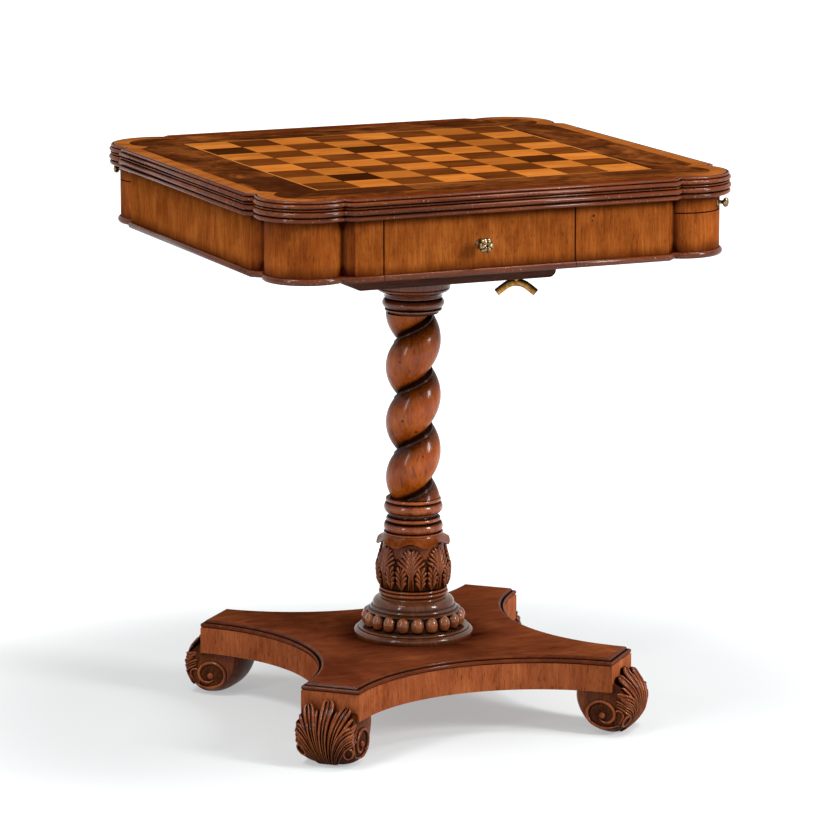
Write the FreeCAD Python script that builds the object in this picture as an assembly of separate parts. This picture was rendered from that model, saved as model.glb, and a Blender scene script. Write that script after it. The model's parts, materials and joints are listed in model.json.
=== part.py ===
import FreeCAD, Part
import math
import os

# Games table: a square top with an inlaid board on an apron box with two drawers and two candle
# slides, carried by a barley twist column on a concave sided platform with four scroll feet.
# Millimetres, +Z up. The floor is at zero and the column stands on the Z axis. The player's side
# with the first drawer faces -Y.

V = FreeCAD.Vector
UP = V(0, 0, 1)
ORIGIN = V(0, 0, 0)
ROOT_TWO = math.sqrt(2)

# Whole table and shared fits
TABLE_HEIGHT = 760.0
CUT_OVERRUN = 4.0
SLIDING_CLEARANCE = 0.3

# Top and its corner shape
TOP_HALF_WIDTH = 335.0
TOP_THICKNESS = 28.0
CORNER_REACH = 109.0
LOBE_INSET = 72.0
LOBE_RADIUS = 68.0
REED_DEPTH = 5.0
REED_STEPS = 3
REED_HEIGHT_SHARES = (0.13, 0.23, 0.12, 0.28, 0.24)
REED_SWELL_SHARES = (0.45, 0.9, 0.6, 1.0, 0.8)

# Inlay let into the top
VENEER_THICKNESS = 2.5
SQUARES_PER_SIDE = 8
BORDER_WIDTH = 70.4
STRING_WIDTH = 2.6
CROSSBAND_WIDTH = 20.0
INLAY_MARGIN = 8.0

# Apron box
APRON_INSET = 15.0
APRON_HEIGHT = 71.0
APRON_THICKNESS = 20.0
BASE_MOULDING_HEIGHT = 9.0
BASE_MOULDING_PROJECTION = 4.0
BASE_MOULDING_STEPS = 3
SHORT_PANEL_WIDTH = 38.0
LONG_PANEL_WIDTH = 133.6
DIVIDER_THICKNESS = 16.0
FIXING_BLOCK_SIZE = 18.0
FIXING_BLOCK_LENGTH = 60.0
FIXING_BLOCK_PLACE_SHARE = 0.41

# Drawers
DRAWER_REAR_ROOM = 22.0
DRAWER_GAP = 0.8
DRAWER_SIDE_HEIGHT = 48.0
DRAWER_SIDE_THICKNESS = 10.0
DRAWER_SIDE_INSET = 6.0
DRAWER_BOTTOM_THICKNESS = 5.0
DRAWER_BOTTOM_RAISE = 5.0
DRAWER_GROOVE_DEPTH = 4.0
RUNNER_HEIGHT = 4.0
RUNNER_FENCE_HEIGHT = 16.0
RUNNER_FENCE_THICKNESS = 10.0

# Candle slides in two opposite corners
SLIDE_FRONT_HEIGHT = 20.0
SLIDE_TRAY_LENGTH = 160.0
SLIDE_TRAY_HALF_WIDTH = 44.0
SLIDE_TRAY_THICKNESS = 12.0
GUIDE_THICKNESS = 10.0
GUIDE_LIP_WIDTH = 8.0
GUIDE_LIP_THICKNESS = 5.0

# Brass knobs
DRAWER_KNOB_RADIUS = 10.0
DRAWER_KNOB_PROJECTION = 22.0
SLIDE_KNOB_RADIUS = 6.5
SLIDE_KNOB_PROJECTION = 14.0
KNOB_SHANK_RADIUS = 2.5
KNOB_PROFILE_SHARES = (
    (0.0, 0.85, 0), (0.12, 0.85, 0), (0.2, 0.5, 0), (0.45, 0.42, 0), (0.55, 0.78, 0), (0.75, 1.0, 0.1),
    (0.94, 0.6, 0.16), (1.0, 0.2, 0),
)

# Bearer block and the locking wing under it
BEARER_HALF_WIDTH = 145.0
BEARER_HALF_DEPTH = 141.0
BEARER_THICKNESS = 43.0
BEARER_END_RADIUS = 10.0
SCREW_RADIUS = 3.0
SCREW_HEAD_RADIUS = 6.0
SCREW_HEAD_HEIGHT = 4.0
SCREW_PENETRATION = 6.0
SCREW_EDGE_DISTANCE = 30.0
WING_OFFSET_X = 100.0
WING_OFFSET_Y = 112.0
WING_HALF_SPAN = 28.8
WING_BAR_WIDTH = 11.0
WING_BAR_THICKNESS = 9.4
WING_BEND_RADIUS = 29.2
WING_ARM_SLOPE_DEGREES = 38.0
WING_REST_TURN_DEGREES = -26.0
WING_COLLAR_RADIUS = 5.5
WING_COLLAR_HEIGHT = 3.5
WING_STUD_RADIUS = 2.5
WING_STUD_GRIP = 20.0
WING_RUNNING_CLEARANCE = 0.05
WING_HEAD_RADIUS = 3.9
WING_HEAD_HEIGHT = 2.2
WING_HEAD_RECESS = 3.0

# Column, from the platform up: beaded base, carved vase, neck rings, twist shaft and cap
BASE_HEIGHT = 50.6
BASE_RADIUS = 80.6
VASE_HEIGHT = 90.4
VASE_RADIUS = 50.5
NECK_HEIGHT = 49.0
NECK_RADIUS = 39.8
CAP_HEIGHT = 60.0
CAP_RADIUS = 50.0
TWIST_RADIUS = 37.3
TWIST_ROOT_RADIUS = 20.5
TWIST_PITCH = 76.0
TWIST_SIDES = 14
TWIST_STEPS_PER_TURN = 10
TWIST_START_TURN_SHARE = 0.58
BEAD_COUNT = 20
BEAD_SIDES = 8
BEAD_RADIUS = 7.2
BEAD_HEIGHT = 19.2
BEAD_RISE_SHARE = 0.28
BEAD_RING_SHARE = 0.77
# Each row is a height share and a radius share of one bead
BEAD_PROFILE_SHARES = ((0.0, 0.3), (0.2, 0.8), (0.5, 1.0), (0.8, 0.8), (1.0, 0.3))
# Each row is a height share, a radius share and the swell of the run that leads up to it
BASE_PROFILE_SHARES = (
    (0.0, 1.0, 0), (0.04, 1.0, 0), (0.2, 0.94, 0.3), (0.24, 0.86, 0), (0.3, 0.77, -0.12), (0.64, 0.76, 0),
    (0.68, 0.8, 0), (0.73, 0.73, 0.2), (0.79, 0.71, 0), (0.97, 0.53, 0.22), (1.0, 0.53, 0),
)
VASE_PROFILE_SHARES = (
    (0.0, 0.84, 0), (0.06, 0.85, -0.15), (0.08, 0.9, 0), (0.18, 0.9, 0.3), (0.2, 0.88, 0), (0.45, 1.0, 0.16),
    (0.64, 0.87, 0.12), (0.78, 0.87, 0), (0.88, 0.98, -0.1), (0.91, 0.97, 0.2), (1.0, 0.82, -0.12),
)
NECK_PROFILE_SHARES = (
    (0.0, 0.99, 0), (0.06, 0.99, 0), (0.08, 0.92, 0), (0.3, 0.92, 0.22), (0.32, 0.86, 0), (0.47, 0.84, 0.25),
    (0.53, 0.78, -0.12), (0.59, 0.82, 0), (0.61, 0.88, 0), (0.91, 0.88, 0.2), (0.93, 0.92, 0),
    (1.0, 0.9, 0.2),
)
CAP_PROFILE_SHARES = (
    (0.0, 0.66, 0), (0.05, 0.69, 0), (0.08, 0.76, 0), (0.11, 0.76, 0), (0.31, 0.74, 0.24), (0.36, 0.72, 0),
    (0.48, 0.92, -0.2), (0.5, 0.97, 0), (0.56, 0.97, 0.2), (0.6, 1.0, 0), (1.0, 1.0, 0),
)
TIE_ROD_RADIUS = 6.0
TIE_ROD_CLEARANCE = 0.5
NUT_RADIUS = 11.0
NUT_HEIGHT = 9.0
WASHER_RADIUS = 15.0
WASHER_THICKNESS = 2.5
NUT_POCKET_RADIUS = 17.0
NUT_POCKET_DEPTH = 16.0
NUT_SIDES = 6

# Platform and feet
FOOT_HEIGHT = 60.0
PLATFORM_THICKNESS = 46.0
PLATFORM_REACH = 299.0
PLATFORM_END_WIDTH = 82.0
PLATFORM_WAIST = 162.0
PLATFORM_EDGE_DROP = 10.5
PLATFORM_EDGE_INSET = 8.0
# Each row is a share of the edge inset and a share of the edge drop, from the side up
PLATFORM_EDGE_SHARES = (
    (0.0, 1.0), (0.3, 0.96), (0.12, 0.88), (0.02, 0.7), (0.12, 0.5), (0.4, 0.4), (0.62, 0.34),
    (0.6, 0.22), (0.74, 0.06), (1.0, 0.0),
)
FOOT_WIDTH = 76.0
FOOT_REACH_IN = 57.0
FOOT_OVERHANG = 28.0
FOOT_LEAF_RISE = 26.0
FOOT_VOLUTE_RADIUS = 19.0
FOOT_VOLUTE_RELIEF = 3.5
# Each row is a share along the foot, in under the arm where negative and out past its end where
# positive, and a share of the foot's height
FOOT_BACK_SHARES = ((-0.98, 1.0), (-1.0, 0.78), (-0.86, 0.45))
FOOT_HEEL_SHARES = ((-0.86, 0.45), (-0.62, 0.18), (-0.26, 0.0))
FOOT_TOE_SHARES = ((0.02, 0.0), (0.74, 0.33), (1.0, 0.76))
FOOT_EYE_SHARES = (-0.24, 0.45)
FOOT_LIP_SHARE = 0.14
FOOT_BELLY_OUT_SHARE = 0.78
FOOT_BELLY_RISE_SHARE = 0.3
# Each row is a share of the half width and the share of the full profile there
FOOT_CROWN_SHARES = (
    (-1.0, 0.86), (-0.9, 0.92), (-0.7, 0.98), (-0.4, 1.0), (0.4, 1.0), (0.7, 0.98), (0.9, 0.92), (1.0, 0.86),
)
# Each row is a share of the volute's radius and a share of its relief
FOOT_DISC_SHARES = ((1.0, 0.6), (0.32, 1.0))

# Heights and places that follow from the sizes above
TOP_UNDERSIDE = TABLE_HEIGHT - TOP_THICKNESS
VENEER_BED = TABLE_HEIGHT - VENEER_THICKNESS
APRON_BOTTOM = TOP_UNDERSIDE - APRON_HEIGHT
BOX_BOTTOM = APRON_BOTTOM - BASE_MOULDING_HEIGHT
BEARER_BOTTOM = BOX_BOTTOM - BEARER_THICKNESS
PLATFORM_TOP = FOOT_HEIGHT + PLATFORM_THICKNESS
VASE_BOTTOM = PLATFORM_TOP + BASE_HEIGHT
NECK_BOTTOM = VASE_BOTTOM + VASE_HEIGHT
TWIST_BOTTOM = NECK_BOTTOM + NECK_HEIGHT
CAP_BOTTOM = BEARER_BOTTOM - CAP_HEIGHT
TWIST_LENGTH = CAP_BOTTOM - TWIST_BOTTOM
APRON_FACE = TOP_HALF_WIDTH - APRON_INSET
APRON_INNER = APRON_FACE - APRON_THICKNESS
BORDER_INSET = INLAY_MARGIN + CROSSBAND_WIDTH
BOARD_HALF = TOP_HALF_WIDTH - BORDER_INSET - BORDER_WIDTH - STRING_WIDTH
SQUARE_SIZE = 2 * BOARD_HALF / SQUARES_PER_SIDE
ROD_BORE_RADIUS = TIE_ROD_RADIUS + TIE_ROD_CLEARANCE

nodes = {}


# Small helpers

def box(low, high):
    size = high - low
    return Part.makeBox(size.x, size.y, size.z, low)


def about_axis(shape, angle):
    copy = shape.copy()
    copy.rotate(ORIGIN, UP, angle)
    return copy


def prism(wire, height):
    return Part.Face(wire).extrude(V(0, 0, height))


def polygon(points):
    return Part.makePolygon(points + points[:1])


def ring_of_points(radius, sides, centre):
    turns = [2 * math.pi * side / sides for side in range(sides)]
    return [centre + V(math.cos(turn), math.sin(turn), 0) * radius for turn in turns]


def swollen_run(start, end, swell):
    """A straight run, or an arc whose rise is a share of the chord, to the left of its direction."""
    if swell == 0:
        return Part.makeLine(start, end)
    chord = end - start
    middle = (start + end) / 2 + V(chord.z, 0, -chord.x) * swell
    return Part.Arc(start, middle, end).toShape()


def turned(shares, radius, height, bottom):
    """A turned piece on the Z axis. Heights and radii are shares of the whole piece."""
    rim = [V(radius * row[1], 0, bottom + height * row[0]) for row in shares]
    edges = [Part.makeLine(V(0, 0, bottom), rim[0])]
    for start, end, row in zip(rim, rim[1:], shares[1:]):
        edges.append(swollen_run(start, end, row[2]))
    edges.append(Part.makeLine(rim[-1], V(0, 0, bottom + height)))
    edges.append(Part.makeLine(V(0, 0, bottom + height), V(0, 0, bottom)))
    return Part.Face(Part.Wire(edges)).revolve(ORIGIN, UP, 360)


def rod_bore(bottom, height):
    return Part.makeCylinder(ROD_BORE_RADIUS, height + 2 * CUT_OVERRUN, V(0, 0, bottom - CUT_OVERRUN))


def nut_pocket(bottom):
    return Part.makeCylinder(NUT_POCKET_RADIUS, NUT_POCKET_DEPTH + CUT_OVERRUN, V(0, 0, bottom))


# Outline of the top, drawn in from its widest line by an inset

def corner_points(inset):
    """Start, neck, lobe tip, neck and end of the corner between +X and +Y."""
    face = TOP_HALF_WIDTH - inset
    run = TOP_HALF_WIDTH - CORNER_REACH - inset * (ROOT_TWO - 1)
    lobe_distance = (TOP_HALF_WIDTH - LOBE_INSET) * ROOT_TWO
    cant_distance = (face + run) / ROOT_TWO
    radius = LOBE_RADIUS - inset
    half_chord = math.sqrt(radius ** 2 - (cant_distance - lobe_distance) ** 2)
    out = V(1, 1, 0) / ROOT_TWO
    across = V(1, -1, 0) / ROOT_TWO
    return [
        V(face, run, 0),
        out * cant_distance + across * half_chord,
        out * (lobe_distance + radius),
        out * cant_distance - across * half_chord,
        V(run, face, 0),
    ]


def top_outline(inset, height):
    quarters = []
    for quarter in range(4):
        turn = FreeCAD.Rotation(UP, 90 * quarter)
        quarters.append([turn.multVec(point) + V(0, 0, height) for point in corner_points(inset)])
    edges = []
    for index, (start, neck, tip, other_neck, end) in enumerate(quarters):
        edges.append(Part.makeLine(start, neck))
        edges.append(Part.Arc(neck, tip, other_neck).toShape())
        edges.append(Part.makeLine(other_neck, end))
        edges.append(Part.makeLine(end, quarters[(index + 1) % 4][0]))
    return Part.Wire(edges)


def outline_prism(inset, bottom, height):
    return prism(top_outline(inset, bottom), height)


def half_round(height, steps):
    """Drop and swell, from 0 to 1 and back, of a half round member of the given height."""
    rows = []
    for step in range(steps + 1):
        angle = math.pi * step / steps
        rows.append((height * (1 - math.cos(angle)) / 2, math.sin(angle)))
    return rows


# Top panel with its five reeds, and the inlay let into it

def make_top():
    sections = [top_outline(REED_DEPTH, TABLE_HEIGHT)]
    drop = 0
    for height_share, swell_share in zip(REED_HEIGHT_SHARES, REED_SWELL_SHARES):
        height = height_share * TOP_THICKNESS
        for fall, swell in half_round(height, REED_STEPS)[1:]:
            inset = REED_DEPTH * (1 - swell * swell_share)
            sections.append(top_outline(inset, TABLE_HEIGHT - drop - fall))
        drop += height
    panel = Part.makeLoft(sections, True, True)
    nodes["top_panel"] = panel.cut(outline_prism(INLAY_MARGIN, VENEER_BED, VENEER_THICKNESS + CUT_OVERRUN))


def board_prism(half):
    return box(V(-half, -half, VENEER_BED), V(half, half, TABLE_HEIGHT))


def make_inlay():
    squares = {"light_squares": [], "dark_squares": []}
    for column in range(SQUARES_PER_SIDE):
        for row in range(SQUARES_PER_SIDE):
            corner = V(column * SQUARE_SIZE - BOARD_HALF, row * SQUARE_SIZE - BOARD_HALF, VENEER_BED)
            tile = Part.makeBox(SQUARE_SIZE, SQUARE_SIZE, VENEER_THICKNESS, corner)
            squares["light_squares" if (column + row) % 2 else "dark_squares"].append(tile)
    for name, tiles in squares.items():
        nodes[name] = Part.makeCompound(tiles)
    string_half = BOARD_HALF + STRING_WIDTH
    nodes["board_stringing"] = board_prism(string_half).cut(board_prism(BOARD_HALF))
    field = outline_prism(BORDER_INSET, VENEER_BED, VENEER_THICKNESS)
    band = outline_prism(INLAY_MARGIN, VENEER_BED, VENEER_THICKNESS)
    nodes["edge_crossband"] = band.cut(field)
    border = field.cut(board_prism(string_half))
    mitre = prism(polygon([V(0, 0, VENEER_BED), V(TOP_HALF_WIDTH, -TOP_HALF_WIDTH, VENEER_BED),
                           V(TOP_HALF_WIDTH, TOP_HALF_WIDTH, VENEER_BED)]), VENEER_THICKNESS)
    sides = [border.common(about_axis(mitre, 90 * side)) for side in range(4)]
    nodes["walnut_border"] = Part.makeCompound([solid for side in sides for solid in side.Solids])


# Apron box: rails, corner posts, base moulding, dust board, divider and runners

APRON_RUN = corner_points(APRON_INSET)[0].y
DRAWER_LEFT = SHORT_PANEL_WIDTH - APRON_RUN
DRAWER_RIGHT = APRON_RUN - LONG_PANEL_WIDTH
DRAWER_REAR = -DIVIDER_THICKNESS / 2 - DRAWER_REAR_ROOM
POST_INNER_DISTANCE = (APRON_RUN + APRON_INNER) / ROOT_TWO
SLIDE_HALF_WIDTH = corner_points(APRON_INSET)[1].distanceToPoint(corner_points(APRON_INSET)[3]) / 2
POCKET_FLOOR = TOP_UNDERSIDE - SLIDE_FRONT_HEIGHT - 2 * SLIDING_CLEARANCE


def floor_plate(bottom, height):
    """The square inside the apron rails with its corners cut along the posts."""
    points = []
    for quarter in range(4):
        turn = FreeCAD.Rotation(UP, 90 * quarter)
        points.append(turn.multVec(V(APRON_INNER, APRON_RUN, 0)) + V(0, 0, bottom))
        points.append(turn.multVec(V(APRON_RUN, APRON_INNER, 0)) + V(0, 0, bottom))
    return prism(polygon(points), height)


def slide_block(clearance, bottom, height):
    """The round nosed front of a candle slide, in the corner between +X and +Y, less a clearance."""
    half = SLIDE_HALF_WIDTH - clearance
    lobe_distance = (TOP_HALF_WIDTH - LOBE_INSET) * ROOT_TWO
    radius = LOBE_RADIUS - APRON_INSET
    shoulder = lobe_distance + math.sqrt(radius ** 2 - half ** 2)
    out = V(1, 1, 0) / ROOT_TWO
    across = V(1, -1, 0) / ROOT_TWO
    level = V(0, 0, bottom)
    heel = out * POST_INNER_DISTANCE + level
    corners = [heel - across * half, heel + across * half]
    necks = [out * shoulder + across * half + level, out * shoulder - across * half + level]
    edges = [
        Part.makeLine(corners[0], corners[1]),
        Part.makeLine(corners[1], necks[0]),
        Part.Arc(necks[0], out * (lobe_distance + radius) + level, necks[1]).toShape(),
        Part.makeLine(necks[1], corners[0]),
    ]
    return prism(Part.Wire(edges), height)


def make_corner_posts():
    start, neck, tip, other_neck, end = corner_points(APRON_INSET)
    inner_end = V(APRON_RUN, APRON_INNER, 0)
    inner_start = V(APRON_INNER, APRON_RUN, 0)
    edges = [
        Part.makeLine(start, neck),
        Part.Arc(neck, tip, other_neck).toShape(),
        Part.makeLine(other_neck, end),
        Part.makeLine(end, inner_end),
        Part.makeLine(inner_end, inner_start),
        Part.makeLine(inner_start, start),
    ]
    post = prism(Part.Wire(edges), APRON_HEIGHT)
    post.translate(V(0, 0, APRON_BOTTOM))
    pocket = slide_block(0, POCKET_FLOOR, TOP_UNDERSIDE - POCKET_FLOOR)
    slide_post = post.cut(pocket)
    nodes["corner_post_back_right"] = post
    nodes["corner_post_front_left"] = about_axis(post, 180)
    nodes["corner_post_back_left"] = about_axis(slide_post, 90)
    nodes["corner_post_front_right"] = about_axis(slide_post, 270)


def apron_rail(left, right):
    """A rail of the front apron between two places along X."""
    return box(V(left, -APRON_FACE, APRON_BOTTOM), V(right, -APRON_INNER, TOP_UNDERSIDE))


def make_apron_rails():
    short_panel = apron_rail(-APRON_RUN, DRAWER_LEFT)
    long_panel = apron_rail(DRAWER_RIGHT, APRON_RUN)
    full_rail = apron_rail(-APRON_RUN, APRON_RUN)
    nodes["front_apron_short"] = short_panel
    nodes["front_apron_long"] = long_panel
    nodes["back_apron_short"] = about_axis(short_panel, 180)
    nodes["back_apron_long"] = about_axis(long_panel, 180)
    nodes["right_apron"] = about_axis(full_rail, 90)
    nodes["left_apron"] = about_axis(full_rail, 270)


def moulding_ring():
    sections = []
    for fall, swell in half_round(BASE_MOULDING_HEIGHT, BASE_MOULDING_STEPS):
        sections.append(top_outline(APRON_INSET - swell * BASE_MOULDING_PROJECTION, APRON_BOTTOM - fall))
    return Part.makeLoft(sections, True, True)


def drawer_strip(left, right, back):
    """The length of the base moulding that stands under the front drawer."""
    low = V(left, -TOP_HALF_WIDTH, BOX_BOTTOM - CUT_OVERRUN)
    return box(low, V(right, back, APRON_BOTTOM + CUT_OVERRUN))


def make_base():
    ring = moulding_ring()
    floor = floor_plate(BOX_BOTTOM, BASE_MOULDING_HEIGHT)
    notch = drawer_strip(DRAWER_LEFT, DRAWER_RIGHT, -APRON_INNER)
    nodes["base_moulding"] = ring.cut(floor).cut(notch).cut(about_axis(notch, 180))
    nodes["dust_board"] = floor
    half = DIVIDER_THICKNESS / 2
    nodes["drawer_divider"] = box(V(-APRON_INNER, -half, APRON_BOTTOM), V(APRON_INNER, half, TOP_UNDERSIDE))


DRAWER_SIDE_LEFT = DRAWER_LEFT + DRAWER_GAP + DRAWER_SIDE_INSET
DRAWER_SIDE_RIGHT = DRAWER_RIGHT - DRAWER_GAP - DRAWER_SIDE_INSET


def make_runners():
    runners = []
    front = -APRON_INNER
    back = -DIVIDER_THICKNESS / 2
    fence_top = APRON_BOTTOM + RUNNER_FENCE_HEIGHT
    for edge, outward in ((DRAWER_SIDE_LEFT, -1), (DRAWER_SIDE_RIGHT, 1)):
        fence_face = edge + outward * SLIDING_CLEARANCE
        fence_back = fence_face + outward * RUNNER_FENCE_THICKNESS
        tread_end = edge - outward * DRAWER_SIDE_THICKNESS
        across = sorted((tread_end, fence_back))
        fence_across = sorted((fence_face, fence_back))
        tread = box(V(across[0], front, APRON_BOTTOM), V(across[1], back, APRON_BOTTOM + RUNNER_HEIGHT))
        fence = box(V(fence_across[0], front, APRON_BOTTOM), V(fence_across[1], back, fence_top))
        runners.append(tread.fuse(fence).removeSplitter())
    pair = Part.makeCompound(runners)
    nodes["drawer_runners"] = Part.makeCompound(runners + about_axis(pair, 180).Solids)


def make_fixing_blocks():
    blocks = []
    high = V(APRON_INNER, FIXING_BLOCK_LENGTH / 2, TOP_UNDERSIDE)
    low = high - V(FIXING_BLOCK_SIZE, FIXING_BLOCK_LENGTH, FIXING_BLOCK_SIZE)
    for side in (-1, 1):
        block = box(low, high)
        block.translate(V(0, side * APRON_RUN * FIXING_BLOCK_PLACE_SHARE, 0))
        blocks += [block, about_axis(block, 180)]
    nodes["fixing_blocks"] = Part.makeCompound(blocks)


# Brass knobs

def knob(radius, projection, shank):
    """A turned knob that points along +Z, with its shank below zero."""
    head = turned(KNOB_PROFILE_SHARES, radius, projection, 0)
    return head.fuse(Part.makeCylinder(KNOB_SHANK_RADIUS, shank, V(0, 0, -shank))).removeSplitter()


def knob_at(place, outward, radius, projection, shank):
    shape = knob(radius, projection, shank)
    shape.Placement = FreeCAD.Placement(place, FreeCAD.Rotation(UP, outward))
    return shape


def shank_hole(place, outward, depth):
    return Part.makeCylinder(KNOB_SHANK_RADIUS, depth, place, -outward)


# Drawers

def make_drawer():
    face_left = DRAWER_LEFT + DRAWER_GAP
    face_right = DRAWER_RIGHT - DRAWER_GAP
    front_back = -APRON_INNER
    face_top = TOP_UNDERSIDE - DRAWER_GAP
    side_bottom = APRON_BOTTOM + RUNNER_HEIGHT + SLIDING_CLEARANCE
    side_top = side_bottom + DRAWER_SIDE_HEIGHT
    inner_left = DRAWER_SIDE_LEFT + DRAWER_SIDE_THICKNESS
    inner_right = DRAWER_SIDE_RIGHT - DRAWER_SIDE_THICKNESS
    inner_rear = DRAWER_REAR - DRAWER_SIDE_THICKNESS
    bottom_low = side_bottom + DRAWER_BOTTOM_RAISE
    tongue = DRAWER_GROOVE_DEPTH
    bottom = box(V(inner_left - tongue, front_back - tongue, bottom_low),
                 V(inner_right + tongue, inner_rear + tongue, bottom_low + DRAWER_BOTTOM_THICKNESS))
    strip = moulding_ring().common(drawer_strip(face_left, face_right, front_back - SLIDING_CLEARANCE))
    knob_place = V((DRAWER_LEFT + DRAWER_RIGHT) / 2, -APRON_FACE, (BOX_BOTTOM + TOP_UNDERSIDE) / 2)
    face = box(V(face_left, -APRON_FACE, APRON_BOTTOM), V(face_right, front_back, face_top))
    face = face.cut(shank_hole(knob_place, V(0, -1, 0), APRON_THICKNESS)).cut(bottom)
    left_side = box(V(DRAWER_SIDE_LEFT, front_back, side_bottom), V(inner_left, DRAWER_REAR, side_top))
    right_side = box(V(inner_right, front_back, side_bottom), V(DRAWER_SIDE_RIGHT, DRAWER_REAR, side_top))
    back = box(V(inner_left, inner_rear, side_bottom), V(inner_right, DRAWER_REAR, side_top))
    return {
        "face": face,
        "bead": strip,
        "left_side": left_side.cut(bottom),
        "right_side": right_side.cut(bottom),
        "back": back.cut(bottom),
        "bottom": bottom,
        "knob": knob_at(knob_place, V(0, -1, 0), DRAWER_KNOB_RADIUS, DRAWER_KNOB_PROJECTION, APRON_THICKNESS),
    }


def make_drawers():
    for name, shape in make_drawer().items():
        nodes["front_drawer_" + name] = shape
        nodes["back_drawer_" + name] = about_axis(shape, 180)


# Candle slides and the guides that carry them

def along_corner(near, far, low_across, high_across, bottom, top):
    """A bar between two distances from the axis, square to the +X +Y diagonal."""
    bar = box(V(near, low_across, bottom), V(far, high_across, top))
    return about_axis(bar, 45)


def make_slides():
    out = V(1, 1, 0) / ROOT_TWO
    slide_bottom = POCKET_FLOOR + SLIDING_CLEARANCE
    tray_near = POST_INNER_DISTANCE - SLIDE_TRAY_LENGTH
    nose = (TOP_HALF_WIDTH - LOBE_INSET) * ROOT_TWO + LOBE_RADIUS - APRON_INSET
    knob_place = out * nose + V(0, 0, slide_bottom + SLIDE_FRONT_HEIGHT / 2)
    shank = nose - POST_INNER_DISTANCE
    front = slide_block(SLIDING_CLEARANCE, slide_bottom, SLIDE_FRONT_HEIGHT)
    handle = knob_at(knob_place, out, SLIDE_KNOB_RADIUS, SLIDE_KNOB_PROJECTION, shank)
    front = front.cut(shank_hole(knob_place, out, shank))
    tray = along_corner(tray_near, POST_INNER_DISTANCE, -SLIDE_TRAY_HALF_WIDTH, SLIDE_TRAY_HALF_WIDTH,
                        slide_bottom, slide_bottom + SLIDE_TRAY_THICKNESS)
    guides = []
    lip_top = slide_bottom - SLIDING_CLEARANCE
    lip_bottom = lip_top - GUIDE_LIP_THICKNESS
    for side in (-1, 1):
        web_face = side * (SLIDE_TRAY_HALF_WIDTH + SLIDING_CLEARANCE)
        web = sorted((web_face, web_face + side * GUIDE_THICKNESS))
        lip = sorted((web_face, web_face - side * GUIDE_LIP_WIDTH))
        upright = along_corner(tray_near, POST_INNER_DISTANCE, web[0], web[1], lip_bottom, TOP_UNDERSIDE)
        ledge = along_corner(tray_near, POST_INNER_DISTANCE, lip[0], lip[1], lip_bottom, lip_top)
        guides.append(upright.fuse(ledge).removeSplitter())
    pieces = {"front": front, "tray": tray, "knob": handle}
    for name, shape in pieces.items():
        nodes["back_left_slide_" + name] = about_axis(shape, 90)
        nodes["front_right_slide_" + name] = about_axis(shape, 270)
    pair = Part.makeCompound(guides)
    nodes["slide_guides"] = Part.makeCompound(about_axis(pair, 90).Solids + about_axis(pair, 270).Solids)


# Bearer block, its screws, and the brass wing that turns under it

def screw(place):
    shank = Part.makeCylinder(SCREW_RADIUS, BEARER_THICKNESS + SCREW_PENETRATION, place)
    head = Part.makeCone(SCREW_HEAD_RADIUS, SCREW_RADIUS, SCREW_HEAD_HEIGHT, place)
    return shank.fuse(head).removeSplitter()


def make_bearer():
    block = box(V(-BEARER_HALF_WIDTH, -BEARER_HALF_DEPTH, BEARER_BOTTOM),
                V(BEARER_HALF_WIDTH, BEARER_HALF_DEPTH, BOX_BOTTOM))
    ends = [edge for edge in block.Edges
            if abs(edge.CenterOfMass.z - BEARER_BOTTOM) < SLIDING_CLEARANCE
            and abs(abs(edge.CenterOfMass.x) - BEARER_HALF_WIDTH) < SLIDING_CLEARANCE]
    block = block.makeFillet(BEARER_END_RADIUS, ends)
    reach_x = BEARER_HALF_WIDTH - SCREW_EDGE_DISTANCE
    reach_y = BEARER_HALF_DEPTH - SCREW_EDGE_DISTANCE
    screws = []
    for place_x in (-reach_x, reach_x):
        for place_y in (-reach_y, reach_y):
            screws.append(screw(V(place_x, place_y, BEARER_BOTTOM)))
    stud = wing_stud()
    block = block.cut(nut_pocket(BOX_BOTTOM - NUT_POCKET_DEPTH))
    block = block.cut(rod_bore(BEARER_BOTTOM, BEARER_THICKNESS)).cut(stud)
    for item in screws:
        block = block.cut(item)
        nodes["dust_board"] = nodes["dust_board"].cut(item)
    nodes["bearer_block"] = block
    nodes["bearer_screws"] = Part.makeCompound(screws)
    nodes["wing_stud"] = stud
    nodes["locking_wing"] = locking_wing()


WING_PLACE = V(WING_OFFSET_X, -WING_OFFSET_Y, 0)
WING_TOP = BEARER_BOTTOM - SLIDING_CLEARANCE
WING_CROWN = WING_TOP - WING_COLLAR_HEIGHT
WING_SEAT = WING_CROWN - WING_BAR_THICKNESS + WING_HEAD_RECESS


def on_stud(radius, low, high):
    """A cylinder about the stud's axis between two heights."""
    return Part.makeCylinder(radius, high - low, WING_PLACE + V(0, 0, low))


def wing_stud():
    head_top = WING_SEAT - SLIDING_CLEARANCE
    pin = on_stud(WING_STUD_RADIUS, head_top, BEARER_BOTTOM + WING_STUD_GRIP)
    head = on_stud(WING_HEAD_RADIUS, head_top - WING_HEAD_HEIGHT, head_top)
    return pin.fuse(head).removeSplitter()


def wing_edge(radius, arm):
    """One long edge of the bar: an arm, the bend over the stud and the other arm, from -X to +X."""
    slope = math.radians(WING_ARM_SLOPE_DEGREES)
    centre = WING_CROWN - WING_BEND_RADIUS
    bend = V(radius * math.sin(slope), 0, centre + radius * math.cos(slope))
    tip = bend + V(math.cos(slope), 0, -math.sin(slope)) * arm
    left_bend = V(-bend.x, 0, bend.z)
    left_tip = V(-tip.x, 0, tip.z)
    return [Part.makeLine(left_tip, left_bend), Part.Arc(left_bend, V(0, 0, centre + radius), bend).toShape(),
            Part.makeLine(bend, tip)]


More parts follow.
